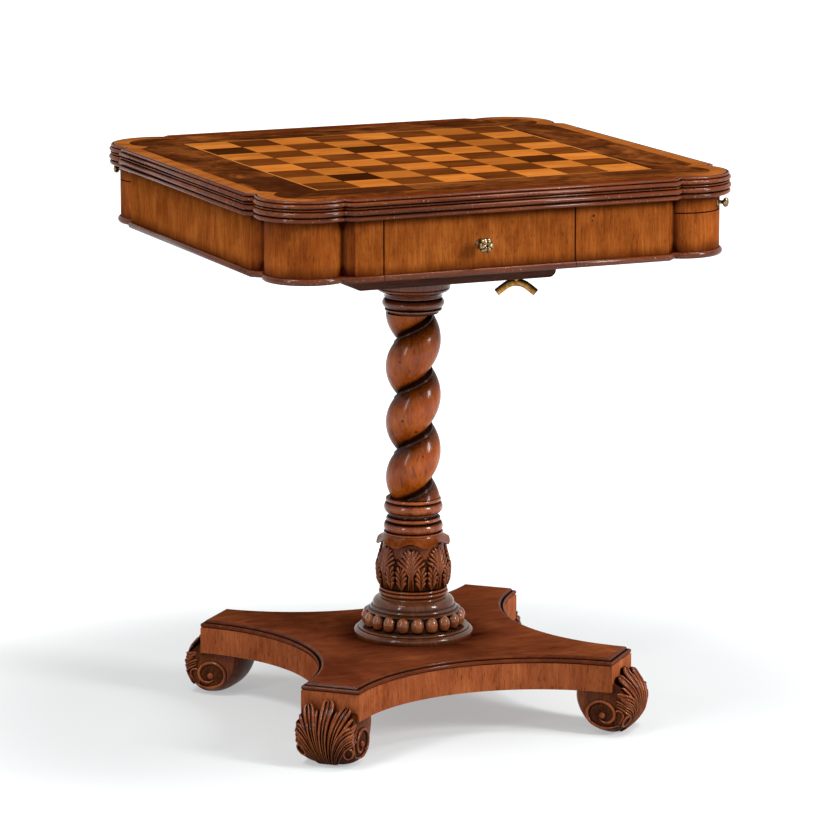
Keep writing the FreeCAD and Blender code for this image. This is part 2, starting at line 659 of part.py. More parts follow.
def locking_wing():
    """A brass bar bent over its stud so that both ends droop, with a collar that keeps it off the bearer."""
    slope = math.radians(WING_ARM_SLOPE_DEGREES)
    arm = (WING_HALF_SPAN - WING_BEND_RADIUS * math.sin(slope)) / math.cos(slope)
    upper = wing_edge(WING_BEND_RADIUS, arm)
    lower = wing_edge(WING_BEND_RADIUS - WING_BAR_THICKNESS, arm)
    right_end = Part.makeLine(upper[2].Vertexes[1].Point, lower[2].Vertexes[1].Point)
    left_end = Part.makeLine(lower[0].Vertexes[0].Point, upper[0].Vertexes[0].Point)
    outline = Part.Wire(Part.__sortEdges__(upper + [right_end] + lower + [left_end]))
    bar = Part.Face(outline).extrude(V(0, WING_BAR_WIDTH, 0))
    bar.translate(V(0, -WING_BAR_WIDTH / 2, 0))
    bar = about_axis(bar, WING_REST_TURN_DEGREES)
    bar.translate(WING_PLACE)
    collar = on_stud(WING_COLLAR_RADIUS, WING_CROWN - WING_BAR_THICKNESS / 2, WING_TOP)
    bar = bar.fuse(collar).removeSplitter()
    bore = on_stud(WING_STUD_RADIUS + WING_RUNNING_CLEARANCE, WING_SEAT - CUT_OVERRUN, WING_TOP + CUT_OVERRUN)
    recess_low = WING_SEAT - WING_HEAD_RECESS - CUT_OVERRUN
    recess = on_stud(WING_HEAD_RADIUS + SLIDING_CLEARANCE, recess_low, WING_SEAT)
    return bar.cut(bore).cut(recess)


# Column

def twist_radius(share):
    """Radius of the twist's cross section at a share of the turn from its groove."""
    rise = TWIST_RADIUS - TWIST_ROOT_RADIUS
    bow = ((TWIST_PITCH / 2) ** 2 + rise ** 2) / (2 * rise)
    return TWIST_RADIUS - bow + math.sqrt(bow ** 2 - ((share - 0.5) * TWIST_PITCH) ** 2)


def twist_section(height):
    turn = 2 * math.pi * ((height - TWIST_BOTTOM) / TWIST_PITCH + TWIST_START_TURN_SHARE)
    points = []
    for side in range(TWIST_SIDES):
        share = side / TWIST_SIDES
        angle = turn - 2 * math.pi * share
        points.append(V(math.cos(angle), math.sin(angle), 0) * twist_radius(share) + V(0, 0, height))
    return polygon(points)


def make_twist():
    steps = round(TWIST_STEPS_PER_TURN * TWIST_LENGTH / TWIST_PITCH)
    sections = [twist_section(TWIST_BOTTOM + TWIST_LENGTH * step / steps) for step in range(steps + 1)]
    shaft = Part.makeLoft(sections, True, True)
    nodes["twist_shaft"] = shaft.cut(rod_bore(TWIST_BOTTOM, TWIST_LENGTH))


def bead(angle):
    """One carved egg of the ring round the foot of the column."""
    bottom = PLATFORM_TOP + BASE_HEIGHT * BEAD_RISE_SHARE
    sections = []
    for height_share, radius_share in BEAD_PROFILE_SHARES:
        centre = V(BASE_RADIUS * BEAD_RING_SHARE, 0, bottom + BEAD_HEIGHT * height_share)
        sections.append(polygon(ring_of_points(BEAD_RADIUS * radius_share, BEAD_SIDES, centre)))
    return about_axis(Part.makeLoft(sections, True, True), angle)


def make_column():
    base = turned(BASE_PROFILE_SHARES, BASE_RADIUS, BASE_HEIGHT, PLATFORM_TOP)
    beads = [bead(360 * index / BEAD_COUNT) for index in range(BEAD_COUNT)]
    base = base.fuse(beads)
    vase = turned(VASE_PROFILE_SHARES, VASE_RADIUS, VASE_HEIGHT, VASE_BOTTOM)
    neck = turned(NECK_PROFILE_SHARES, NECK_RADIUS, NECK_HEIGHT, NECK_BOTTOM)
    cap = turned(CAP_PROFILE_SHARES, CAP_RADIUS, CAP_HEIGHT, CAP_BOTTOM)
    nodes["beaded_base"] = base.cut(rod_bore(PLATFORM_TOP, BASE_HEIGHT))
    nodes["carved_vase"] = vase.cut(rod_bore(VASE_BOTTOM, VASE_HEIGHT))
    nodes["column_neck"] = neck.cut(rod_bore(NECK_BOTTOM, NECK_HEIGHT))
    nodes["column_cap"] = cap.cut(rod_bore(CAP_BOTTOM, CAP_HEIGHT))
    make_twist()


def nut_and_washer(seat, direction):
    """A washer on its seat and a hexagon nut on the washer, stacked along the direction."""
    washer_low = min(seat, seat + direction * WASHER_THICKNESS)
    nut_seat = seat + direction * WASHER_THICKNESS
    nut_low = min(nut_seat, nut_seat + direction * NUT_HEIGHT)
    washer = Part.makeCylinder(WASHER_RADIUS, WASHER_THICKNESS, V(0, 0, washer_low))
    nut = prism(polygon(ring_of_points(NUT_RADIUS, NUT_SIDES, V(0, 0, nut_low))), NUT_HEIGHT)
    return [washer, nut]


def make_tie_rod():
    low_seat = FOOT_HEIGHT + NUT_POCKET_DEPTH
    high_seat = BOX_BOTTOM - NUT_POCKET_DEPTH
    stack = WASHER_THICKNESS + NUT_HEIGHT
    rod = Part.makeCylinder(TIE_ROD_RADIUS, high_seat - low_seat + 2 * stack, V(0, 0, low_seat - stack))
    nuts = nut_and_washer(low_seat, -1) + nut_and_washer(high_seat, 1)
    nodes["tie_rod"] = rod
    nodes["tie_rod_nuts"] = Part.makeCompound([item.cut(rod) for item in nuts])


# Platform and feet

def platform_outline(inset, height):
    """Four concave sides and four cut ends, drawn in by an inset."""
    reach = PLATFORM_REACH
    half_end = PLATFORM_END_WIDTH / 2
    corner = V(reach - half_end, reach + half_end, 0) / ROOT_TWO
    depth = corner.y - PLATFORM_WAIST
    sweep = (corner.x ** 2 + depth ** 2) / (2 * depth)
    centre = V(0, PLATFORM_WAIST + sweep, 0)
    out = V(1, 1, 0) / ROOT_TWO
    across = V(-1, 1, 0) / ROOT_TWO
    radius = sweep + inset
    end = reach - inset
    # Where the drawn in arc meets the drawn in end of the arm
    ahead = centre.dot(out) - end
    half = centre.dot(across) - math.sqrt(radius ** 2 - ahead ** 2)
    edges = []
    for side in range(4):
        turn = FreeCAD.Rotation(UP, 90 * side)
        level = V(0, 0, height)
        first = turn.multVec(out * end - across * half) + level
        second = turn.multVec(out * end + across * half) + level
        waist = turn.multVec(V(0, PLATFORM_WAIST - inset, 0)) + level
        beyond = FreeCAD.Rotation(UP, 90 * (side + 1)).multVec(out * end - across * half) + level
        edges.append(Part.makeLine(first, second))
        edges.append(Part.Arc(second, waist, beyond).toShape())
    return Part.Wire(edges)


def make_platform():
    sections = [platform_outline(0, FOOT_HEIGHT)]
    for inset_share, drop_share in PLATFORM_EDGE_SHARES:
        level = PLATFORM_TOP - PLATFORM_EDGE_DROP * drop_share
        sections.append(platform_outline(PLATFORM_EDGE_INSET * inset_share, level))
    slab = Part.makeLoft(sections, True, True)
    slab = slab.cut(nut_pocket(FOOT_HEIGHT - CUT_OVERRUN))
    nodes["platform"] = slab.cut(rod_bore(FOOT_HEIGHT, PLATFORM_THICKNESS))


def foot_profile(draw, across):
    """The scroll's outline at a place across the foot, drawn in to a share about the arm's lower corner."""
    arm_corner = V(PLATFORM_REACH, across, FOOT_HEIGHT)

    def place(along, height):
        return arm_corner + V(along, 0, height - FOOT_HEIGHT) * draw

    def points(shares):
        spans = [FOOT_REACH_IN if row[0] < 0 else FOOT_OVERHANG for row in shares]
        return [place(span * row[0], FOOT_HEIGHT * row[1]) for span, row in zip(spans, shares)]

    back = points(FOOT_BACK_SHARES)
    heel = points(FOOT_HEEL_SHARES)
    toe = points(FOOT_TOE_SHARES)
    leaf_height = FOOT_HEIGHT + FOOT_LEAF_RISE
    leaf_top = place(0, leaf_height)
    leaf_lip = place(FOOT_OVERHANG * FOOT_LIP_SHARE, leaf_height)
    leaf_belly = place(FOOT_OVERHANG * FOOT_BELLY_OUT_SHARE,
                       FOOT_HEIGHT + FOOT_LEAF_RISE * FOOT_BELLY_RISE_SHARE)
    return Part.Wire([
        Part.Arc(*back).toShape(),
        Part.Arc(*heel).toShape(),
        Part.makeLine(heel[-1], toe[0]),
        Part.Arc(*toe).toShape(),
        Part.Arc(toe[-1], leaf_belly, leaf_lip).toShape(),
        Part.makeLine(leaf_lip, leaf_top),
        Part.makeLine(leaf_top, arm_corner),
        Part.makeLine(arm_corner, back[0]),
    ])


def scroll_foot():
    """A scroll under the arm's end whose leaf laps up the end face. It points along +X."""
    half = FOOT_WIDTH / 2
    sections = [foot_profile(draw_share, half * across_share)
                for across_share, draw_share in FOOT_CROWN_SHARES]
    foot = Part.makeLoft(sections, True, True)
    along_share, height_share = FOOT_EYE_SHARES
    eye = V(PLATFORM_REACH + FOOT_REACH_IN * along_share, 0, FOOT_HEIGHT * height_share)
    for radius_share, relief_share in FOOT_DISC_SHARES:
        length = FOOT_WIDTH + 2 * FOOT_VOLUTE_RELIEF * relief_share
        start = eye - V(0, length / 2, 0)
        foot = foot.fuse(Part.makeCylinder(FOOT_VOLUTE_RADIUS * radius_share, length, start, V(0, 1, 0)))
    return foot.removeSplitter()


def make_feet():
    foot = scroll_foot()
    for name, angle in (("back_right", 45), ("back_left", 135), ("front_left", 225), ("front_right", 315)):
        nodes["scroll_foot_" + name] = about_axis(foot, angle)


make_top()
make_inlay()
make_corner_posts()
make_apron_rails()
make_base()
make_runners()
make_fixing_blocks()
make_drawers()
make_slides()
make_bearer()
make_column()
make_tie_rod()
make_platform()
make_feet()

os.makedirs("parts", exist_ok=True)
for name, shape in nodes.items():
    shape.exportStep("parts/" + name + ".step")
print(len(nodes), "nodes,", sum(len(shape.Solids) for shape in nodes.values()), "solids")
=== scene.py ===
import json
import math

import bmesh
import bpy
from mathutils import Matrix, Vector


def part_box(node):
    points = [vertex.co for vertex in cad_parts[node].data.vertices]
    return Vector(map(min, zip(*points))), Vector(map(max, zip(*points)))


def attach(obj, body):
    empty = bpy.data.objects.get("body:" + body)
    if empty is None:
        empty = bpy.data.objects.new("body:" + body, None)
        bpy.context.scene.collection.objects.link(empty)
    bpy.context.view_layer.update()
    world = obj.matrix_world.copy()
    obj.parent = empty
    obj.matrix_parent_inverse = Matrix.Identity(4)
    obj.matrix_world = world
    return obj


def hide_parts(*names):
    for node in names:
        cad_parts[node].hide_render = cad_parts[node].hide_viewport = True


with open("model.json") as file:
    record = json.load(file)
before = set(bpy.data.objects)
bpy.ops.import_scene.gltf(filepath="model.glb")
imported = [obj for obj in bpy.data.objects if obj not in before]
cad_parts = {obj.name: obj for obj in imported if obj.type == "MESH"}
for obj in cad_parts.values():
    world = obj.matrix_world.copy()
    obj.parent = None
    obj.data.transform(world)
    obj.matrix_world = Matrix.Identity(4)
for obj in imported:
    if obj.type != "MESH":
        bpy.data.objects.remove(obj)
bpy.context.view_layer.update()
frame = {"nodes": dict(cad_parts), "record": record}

# The games table in metres, +Z up, floor at zero, column on the Z axis, first drawer towards -Y

X, Y, Z = range(3)
ROOT_TWO = math.sqrt(2)
HALF_ROOT = math.sqrt(0.5)
MM_PER_METRE = 1000

# Photograph's camera
CAMERA_PLACE = Vector((-2.3269, -5.2862, 1.5627))
CAMERA_RIGHT = Vector((0.9146, -0.4043, 0.0))
CAMERA_BACK = Vector((-0.3964, -0.8967, 0.1971))
CAMERA_LENS = 187.2
CAMERA_SENSOR = 36.0

# Outline of the top, shared by the reeds, the crossband and the base bead
APRON_INSET = 0.015
TOP_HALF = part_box("right_apron")[1].x + APRON_INSET
TOP_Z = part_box("light_squares")[1].z
BED_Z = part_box("light_squares")[0].z
UNDERSIDE_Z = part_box("right_apron")[1].z
APRON_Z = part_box("right_apron")[0].z
BEAD_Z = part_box("base_moulding")[0].z
CORNER_REACH = 0.109
LOBE_INSET = 0.072
LOBE_RADIUS = 0.068
LOBE_STEPS = 40
LOBE_OUT = (TOP_HALF - LOBE_INSET) * ROOT_TWO
REED_DEPTH = 0.005
REED_STEPS = 8
REED_HEIGHT_SHARES = (0.13, 0.23, 0.12, 0.28, 0.24)
REED_SWELL_SHARES = (0.45, 0.9, 0.6, 1.0, 0.8)
INLAY_MARGIN = 0.008
CROSSBAND_WIDTH = 0.020
SQUARE = 0.0585
BEAD_PROJECTION = 0.004
BEAD_BACK = 0.018
BEAD_STEPS = 8
DRAWER_GAP = 0.0008

# Where a corner post's lobe meets the flats beside it: out along the diagonal and to its side
NECK_OUT = 0.3817
NECK_SIDE = 0.0521

# Column and platform
CAP_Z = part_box("column_cap")[0].z
SPIN_STEPS = 96
TWIST_RADIUS = 0.0373
TWIST_ROOT = 0.0205
TWIST_PITCH = 0.076
TWIST_START_SHARE = 0.58
TWIST_SIDES = 96
TWIST_STEPS = 64
TWIST_FILLET = 0.0018
# Shares of the twist's turn: the fillet's place and reach, and how far the darkening, part stain and part
# painted shade, runs from each edge
TWIST_FILLET_PLACE = 0.95
TWIST_FILLET_REACH = 0.03
TWIST_STAIN_AND_SHADE_REACH = 0.58
TWIST_ROOT_REACH = 0.14
LEAF_COUNT = 7
LEAF_FIRST_ANGLE = math.radians(-117.75)
BASE_SPIN_STEPS = 120
EGG_COUNT = 20
EGG_HALF_SIZE = (0.0086, 0.0088, 0.0112)
EGG_RING = 0.0622
EGG_RISE = 0.0244
EGG_CREST = 0.0640
EGG_DEPTH = 0.006
PLATFORM_END_WIDTH = 0.082
PLATFORM_WAIST = 0.162
PLATFORM_STEPS = 36
# The moulding on the platform's upper edge, a bead under a quarter round, by insets and drops from the top
PLATFORM_BEAD_INSET = 0.0022
PLATFORM_BEAD_SWELL = 0.0021
PLATFORM_BEAD_DROP = 0.0100
PLATFORM_BEAD_HEIGHT = 0.0060
PLATFORM_BEAD_STEPS = 8
PLATFORM_ROUND_INSET = 0.0078
PLATFORM_ROUND_REACH = 0.0030
PLATFORM_ROUND_DROP = 0.0034
PLATFORM_ROUND_HEIGHT = 0.0032
PLATFORM_ROUND_STEPS = 6

# Brass and bearer. A knob's size is its radius and its projection
DRAWER_KNOB = (0.0100, 0.022)
SLIDE_KNOB = (0.0065, 0.014)
KNOB_SPIN_STEPS = 72
WING_WIDTH = 0.011
WING_THICKNESS = 0.0094
WING_ARM = 0.0137
WING_BEND_RADIUS = 0.0292
WING_SLOPE = math.radians(38.0)
WING_TURN = math.radians(-26.0)
WING_SIDES = 24
WING_EDGE_POWER = 0.4
WING_BEND_STEPS = 8
WING_ARM_STEPS = 4
WING_COLLAR_RADIUS = 0.0055
WING_COLLAR_HEIGHT = 0.0035
WING_COLLAR_ROOT = 0.0025
WING_COLLAR_SIDES = 40
BEARER_END_RADIUS = 0.010
BEARER_ARRIS = 0.0012

# Distances within which vertices are merged, finer where carving is dense
MERGE = 0.000004
SPIN_MERGE = 0.000002
CARVED_MERGE = 0.0000005
SEAM_MERGE = 0.0000001


# Shader maths

class Shade:
    """A shader socket that adds Math nodes when it is used in an expression."""

    def __init__(self, nodes, socket):
        self.nodes = nodes
        self.socket = socket

    def math(self, operation, *others):
        """A Math node on this value and, where the operation takes one, another."""
        return self.nodes.add("Math", {"operation": operation}, dict(enumerate((self, *others))))

    def __add__(self, other):
        return self.math("ADD", other)

    def __sub__(self, other):
        return self.math("SUBTRACT", other)

    def __rsub__(self, other):
        return self.nodes.add("Math", {"operation": "SUBTRACT"}, {0: other, 1: self})

    def __mul__(self, other):
        return self.math("MULTIPLY", other)

    def __pow__(self, other):
        return self.math("POWER", other)

    def __gt__(self, other):
        return self.math("GREATER_THAN", other)

    def __abs__(self):
        return self.math("ABSOLUTE")

    __radd__ = __add__
    __rmul__ = __mul__

    def eased(self, low, high):
        """0 below low, 1 above high and smooth between."""
        return self.nodes.add("MapRange", {"interpolation_type": "SMOOTHSTEP"},
                              {"Value": self, "From Min": low, "From Max": high})


class Nodes:
    """A node tree whose nodes are added through one method."""

    def __init__(self, tree):
        self.tree = tree

    def join(self, socket, value):
        if isinstance(value, Shade):
            self.tree.links.new(value.socket, socket)
        else:
            socket.default_value = value

    def add(self, kind, settings, inputs, out=0):
        """An output of a new node, whose settings are made before its inputs are set or linked."""
        node = self.tree.nodes.new("ShaderNode" + kind)
        for key, value in settings.items():
            if key == "stops":
                ramp = node.color_ramp
                while len(ramp.elements) < len(value):
                    ramp.elements.new(1.0)
                for element, (place, colour) in zip(ramp.elements, value):
                    element.position = place
                    element.color = colour
            else:
                setattr(node, key, value)
        for key, value in inputs.items():
            self.join(node.inputs[key], value)
        return Shade(self, node.outputs[out])

    def seen(self):
        """1 for rays from the camera, reflections and glass, and 0 for the rays that light the table."""
        camera, glossy, glass = (self.add("LightPath", {}, {}, "Is " + ray + " Ray")
                                 for ray in ("Camera", "Glossy", "Transmission"))
        return camera + glossy + glass


class Finish(Nodes):
    """A material, with the nodes that the finishes share."""

    def __init__(self, name):
        self.material = bpy.data.materials.new(name)
        self.material.use_nodes = True
        super().__init__(self.material.node_tree)
        self.surface = self.tree.nodes["Principled BSDF"]

    def place(self):
        return self.add("TexCoord", {}, {}, "Object")

    def attribute(self, name, out="Fac"):
        return self.add("Attribute", {"attribute_name": name}, {}, out)

    def part(self, vector, axis):
        return self.add("SeparateXYZ", {}, {0: vector}, axis)

    def vector(self, operation, *values, out=0):
        return self.add("VectorMath", {"operation": operation}, dict(enumerate(values)), out)

    def scaled(self, vector, scale, shift=(0, 0, 0)):
        return self.add("Mapping", {}, {"Vector": vector, "Scale": scale, "Location": shift})

    def noise(self, vector, scale, detail, roughness, distortion=0.0):
        return self.add("TexNoise", {}, {"Vector": vector, "Scale": scale, "Detail": detail,
                                         "Roughness": roughness, "Distortion": distortion})

    def chance(self, cell, out="Value"):
        return self.add("TexWhiteNoise", {"noise_dimensions": "3D"}, {"Vector": cell}, out)

    def mix(self, factor, first, second, blend="MIX"):
        return self.add("Mix", {"data_type": "RGBA", "blend_type": blend},
                        {0: factor, 6: first, 7: second}, 2)

    def paint(self, factor, colour, tone):
        """Covers a colour with a tone."""
        return self.mix(factor, colour, tint(*tone))

    def stain(self, factor, colour, tone):
        """Darkens a colour through a tone."""
        return self.mix(factor, colour, tint(*tone), "MULTIPLY")

    def ramp(self, value, places, tones):
        stops = [(place, tint(*tone)) for place, tone in zip(places, tones)]
        return self.add("ValToRGB", {"stops": stops}, {0: value})

    def bump(self, height, strength, distance):
        return self.add("Bump", {}, {"Height": height, "Strength": strength, "Distance": distance})

    def wear(self, **sockets):
        """Sets the shader's own sockets, whose names are written with underscores."""
        for name, value in sockets.items():
            self.join(self.surface.inputs[name.replace("_", " ")], value)


def tint(red, green, blue):
    """A linear colour from the usual 0 to 255 values."""
    def linear(value):
        share = value / 255
        return share / 12.92 if share <= 0.04045 else ((share + 0.055) / 1.055) ** 2.4
    return (linear(red), linear(green), linear(blue), 1.0)


# Wood finishes. Their tones are red, green and blue from 0 to 255

PORE_TONE = (110, 80, 62)
SHADE_TONE = (96, 54, 30)
SPECK_TONE = (34, 16, 8)
# Painted shadow in the gaps beside the drawers and slides
GAP_SHADOW_TONE = (14, 7, 4)
# Dark wax and painted shade in the hollows of carving and mouldings
DARK_WAX_AND_SHADE = (26, 11, 6)


def grain(finish, lie, across, along, axis):
    """Tone from 0 to 1, fine fibre and dark pores of wood whose grain runs along one axis of a lie."""
    def stretched(wide, long):
        scale = [wide, wide, wide]
        scale[axis] = long
        return finish.scaled(lie, scale)

    cloud = finish.noise(stretched(across * 0.12, along * 0.8), 1.0, 3.0, 0.5, 0.6)
    streak = finish.noise(stretched(across, along), 1.0, 4.0, 0.6, 0.3)
    fibre = finish.noise(stretched(across * 6, along * 4), 1.0, 2.0, 0.6)
    pore = finish.noise(stretched(across * 2.7, along * 4), 1.0, 1.0, 0.5).eased(0.6, 0.72)
    tone = cloud * 0.45 + streak * 0.4 + fibre * 0.25 - 0.05
    return tone, fibre, pore


def worm_specks(finish, lie, scale, rarity):
    """Dark specks of a distressed finish, from none at a rarity of 1 to many at 0."""
    cell = finish.add("TexVoronoi", {}, {"Vector": lie, "Scale": scale})
    lone = finish.noise(lie, scale * 0.31, 1.0, 0.5)
    return (1 - cell.eased(0.06, 0.12)) * lone.eased(rarity, rarity + 0.08)


def wood(name, tones, axis=Z, across=140.0, along=7.0, gloss=0.34, coat=0.2, haze=0.15, pores=0.55,
         spread=0.2, specks=0.0, rarity=0.56, wax_and_shade=None, occlusion_shade_reach=0.0, polish=0.0, worn=None, shade=None,
         gap_shadow=None):
    """A polished wood in its deep, middle and light tones.

    Across and along are how often its grain changes in a metre, and haze is the roughness of its coat. Specks
    is the scale of its worm holes. The wax tone is laid in its hollows, part dark wax and part painted shade,
    and within a reach in metres it paints shade into its corners too, by ambient occlusion. Polish is the
    share of the coat that covers that dark tone, and worn is the tone of its rubbed crests. Shade is a
    function that paints shade into it, and a second function paints the shadow in the gaps beside the drawers
    and slides.
    """
    finish = Finish(name)
    place = finish.place()
    tone, fibre, pore = grain(finish, place, across, along, axis)
    colour = finish.ramp(tone, (0.5 - spread, 0.5, 0.5 + spread), tones)
    colour = finish.stain(pore * pores, colour, PORE_TONE)
    rough = fibre * 0.16 + (gloss - 0.08)
    height = fibre * 0.5 - pore * 0.6
    if shade:
        colour = finish.stain(shade(finish, place), colour, SHADE_TONE)
    # Hollows take the wax tone, part dark wax and part painted shade
    if wax_and_shade:
        hollow = finish.attribute("hollow")
        broken = finish.noise(place, 260.0, 2.0, 0.6) * 0.3 + hollow - 0.15
        sunk = broken.eased(0.2, 0.95)
        # Painted shade: ambient occlusion within the reach darkens corners with the same tone
        if occlusion_shade_reach:
            bare = finish.add("AmbientOcclusion", {"samples": 6, "only_local": True},
                              {"Distance": occlusion_shade_reach}, "AO")
            sunk = sunk.math("MAXIMUM", 1 - bare.eased(0.38, 0.96))
        colour = finish.paint(sunk, colour, wax_and_shade)
        rough = rough + sunk * 0.4
        coat = (1 - sunk * (1 - polish)) * coat
        if worn:
            rub = finish.noise(place, 330.0, 3.0, 0.7).eased(0.63, 0.7) * (1 - hollow).eased(0.75, 1.0)
            colour = finish.paint(rub * 0.6, colour, worn)
    if specks:
        speck = worm_specks(finish, place, specks, rarity)
        colour = finish.paint(speck * 0.85, colour, SPECK_TONE)
        height = height - speck
    # Painted shadow in the gaps beside the drawers and slides
    if gap_shadow:
        colour = finish.paint(gap_shadow(finish, place), colour, GAP_SHADOW_TONE)
    finish.wear(Base_Color=colour, Roughness=rough, Coat_Weight=coat, Coat_Roughness=haze, Coat_IOR=1.45,
                Specular_IOR_Level=0.0, Normal=finish.bump(height, 0.12, 0.0006))
    return finish.material


def edge_shade(finish, place, reach=0.02):
    """Darker towards the upper and lower edges of the apron."""
    low = APRON_Z - 0.004
    high = UNDERSIDE_Z + 0.004
    height = finish.part(place, Z)
    blotch = finish.noise(place, 22.0, 2.0, 0.5) * 0.5 + 0.55
    near_low = 1 - height.eased(low, low + reach)
    near_high = height.eased(high - reach, high)
    return (near_low + near_high) * blotch


def corner_shade(finish, place):
    """Darker towards the edges of a corner post, with painted shade in the notch where its lobe meets the
    flats beside it and on those flats.
    """
    wide = abs(finish.part(place, X))
    deep = abs(finish.part(place, Y))
    out = (wide + deep) * HALF_ROOT - NECK_OUT
    side = abs((wide - deep) * HALF_ROOT) - NECK_SIDE
    near = 1 - ((out * out + side * side) ** 0.5).eased(0.0, 0.010)
    flat = side.eased(-0.002, 0.003) * 0.25
    dark = edge_shade(finish, place, reach=0.022) + near * 0.65 + flat
    return dark.math("MINIMUM", 1.0)


def cap_shade(finish, place):
    """Painted shade on the column's cap, up under the box."""
    return finish.part(place, Z).eased(CAP_Z - 0.03, CAP_Z + 0.02) * 0.55


def platform_shade(finish, place):
    """Painted shade round the column's foot, and darker in soft blotches."""
    out = finish.vector("LENGTH", finish.scaled(place, (1.0, 1.0, 0.0)), out="Value")
    blotch = finish.noise(place, 9.0, 3.0, 0.6, 1.0).eased(0.42, 0.68)
    return (1 - out.eased(0.078, 0.125)) * 0.55 + blotch * 0.35


def drawer_gap_shadow(finish, place):
    """Painted shadow in the gaps beside the front drawer, and half round the table beside the back one."""
    low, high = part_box("front_drawer_face")
    depth = finish.part(place, Y)
    along = finish.part(place, X) * depth.math("SIGN") * -1.0
    left, right = (1 - abs(along - edge).eased(0.0005, 0.0014) for edge in (low.x, high.x))
    return (left + right) * abs(depth).eased(-low.y - 0.004, -low.y - 0.001)


def slide_gap_shadow(finish, place):
    """Painted shadow in the gap under the candle slides, on the two corners that hold one."""
    wide = finish.part(place, X)
    deep = finish.part(place, Y)
    gap = abs(finish.part(place, Z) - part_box("front_right_slide_front")[0].z)
    out = abs((wide - deep) * HALF_ROOT)
    side = (wide + deep) * HALF_ROOT
    middle = out - LOBE_OUT
    skin = LOBE_RADIUS - APRON_INSET
    face = ((middle * middle + side * side) ** 0.5).eased(skin - 0.004, skin - 0.001)
    return (1 - gap.eased(0.0004, 0.0013)) * face * (out > NECK_OUT)


# Veneers of the board and its borders

def waxed_veneer(finish, colour, fibre, relief):
    """The dull polish of the flat top."""
    finish.wear(Base_Color=colour, Roughness=fibre * 0.14 + 0.5, Specular_IOR_Level=0.0,
                Normal=finish.bump(relief, 0.08, 0.0004))
    return finish.material


def square_finish(name, tones, darkest, contrast, across):
    """Veneer squares that differ in tone and grain from one to the next."""
    finish = Finish(name)
    place = finish.place()
    cell = finish.vector("FLOOR", finish.scaled(place, (1 / SQUARE, 1 / SQUARE, 0.0)))
    chance = finish.chance(cell)
    shifted = finish.vector("ADD", place, finish.chance(cell, "Color"))
    tone, fibre, pore = grain(finish, shifted, across, 9.0, X)
    colour = finish.ramp(tone, (0.32, 0.5, 0.7), tones)
    colour = finish.paint(chance.eased(1 - contrast, 1.0) * 0.85, colour, darkest)
    lightness = (1 - chance) * 0.25 + 0.85
    grey = finish.add("CombineXYZ", {}, {0: lightness, 1: lightness, 2: lightness})
    colour = finish.mix(1.0, colour, grey, "MULTIPLY")
    colour = finish.stain(pore * 0.5, colour, (120, 88, 66))
    seam = seam_lines(finish, place)
    colour = finish.paint(seam * 0.55, colour, (60, 28, 10))
    return waxed_veneer(finish, colour, fibre, fibre * 0.5 - pore * 0.5 - seam)


def seam_lines(finish, place):
    """The hairline glue joints between the squares."""
    lines = []
    for axis in (X, Y):
        number = finish.part(place, axis) * (1 / SQUARE)
        gap = number.math("FRACT").math("PINGPONG", 0.5)
        lines.append(1 - gap.eased(0.004, 0.011))
    return lines[0].math("MAXIMUM", lines[1])


def border_finish():
    """Figured walnut laid in four mitred lengths."""
    finish = Finish("figured_walnut")
    place = finish.place()
    side = abs(finish.part(place, X)) > abs(finish.part(place, Y))
    along_x = finish.scaled(place, (9.0, 26.0, 9.0))
    along_y = finish.scaled(place, (14.0, 10.0, 9.0), shift=(3.1, 7.7, 0.0))
    lie = finish.add("Mix", {"data_type": "VECTOR"}, {0: side, 4: along_x, 5: along_y}, 1)
    swirl = finish.noise(lie, 1.0, 5.0, 0.55, 1.6)
    flame = finish.noise(lie, 2.3, 4.0, 0.6, 2.4)
    tone, fibre, pore = grain(finish, place, 150.0, 12.0, X)
    mixed = swirl * 0.62 + flame * 0.3 + tone * 0.22 - 0.08
    colour = finish.ramp(mixed, (0.34, 0.47, 0.56, 0.7),
                         ((44, 19, 7), (84, 41, 15), (112, 60, 24), (142, 80, 33)))
    patch = finish.vector("FLOOR", finish.scaled(place, (11.0, 11.0, 0.0), shift=(0.3, 0.1, 0.0)))
    colour = finish.paint(finish.chance(patch).eased(0.55, 0.9) * 0.75, colour, (52, 22, 8))
    colour = finish.stain(pore * 0.5, colour, (120, 84, 60))
    return waxed_veneer(finish, colour, fibre, fibre * 0.5 - pore * 0.5)


def crossband_finish():
    """Cross-grained band: golden at the sides and lobes, browner along the front and back."""
    finish = Finish("crossband_veneer")
    place = finish.place()
    tone, fibre, pore = grain(finish, finish.attribute("lie", "Vector"), 210.0, 14.0, Y)
    colour = finish.ramp(tone, (0.3, 0.5, 0.7), ((98, 48, 16), (144, 79, 30), (172, 104, 44)))
    front = (abs(finish.part(place, Y)) - abs(finish.part(place, X))).eased(0.02, 0.09)
    colour = finish.stain(front, colour, (164, 132, 116))
    colour = finish.paint(pore * 0.45, colour, (84, 42, 16))
    return waxed_veneer(finish, colour, fibre, fibre * 0.5 - pore * 0.5)


def metal(name, tones, rough):
    """A dull cast metal, darker in its hollows; on the wing the same dark tone is a painted reflection on
    top.
    """
    finish = Finish(name)
    haze = finish.noise(finish.place(), 180.0, 4.0, 0.6)
    colour = finish.ramp(haze, (0.35, 0.5, 0.66), tones)
    hollow = finish.attribute("hollow")
    colour = finish.paint(hollow.eased(0.25, 0.9), colour, (52, 36, 18))
    finish.wear(Base_Color=colour, Metallic=1.0, Roughness=haze * 0.2 + rough + hollow * 0.2,
                Normal=finish.bump(haze, 0.06, 0.0003))
    return finish.material


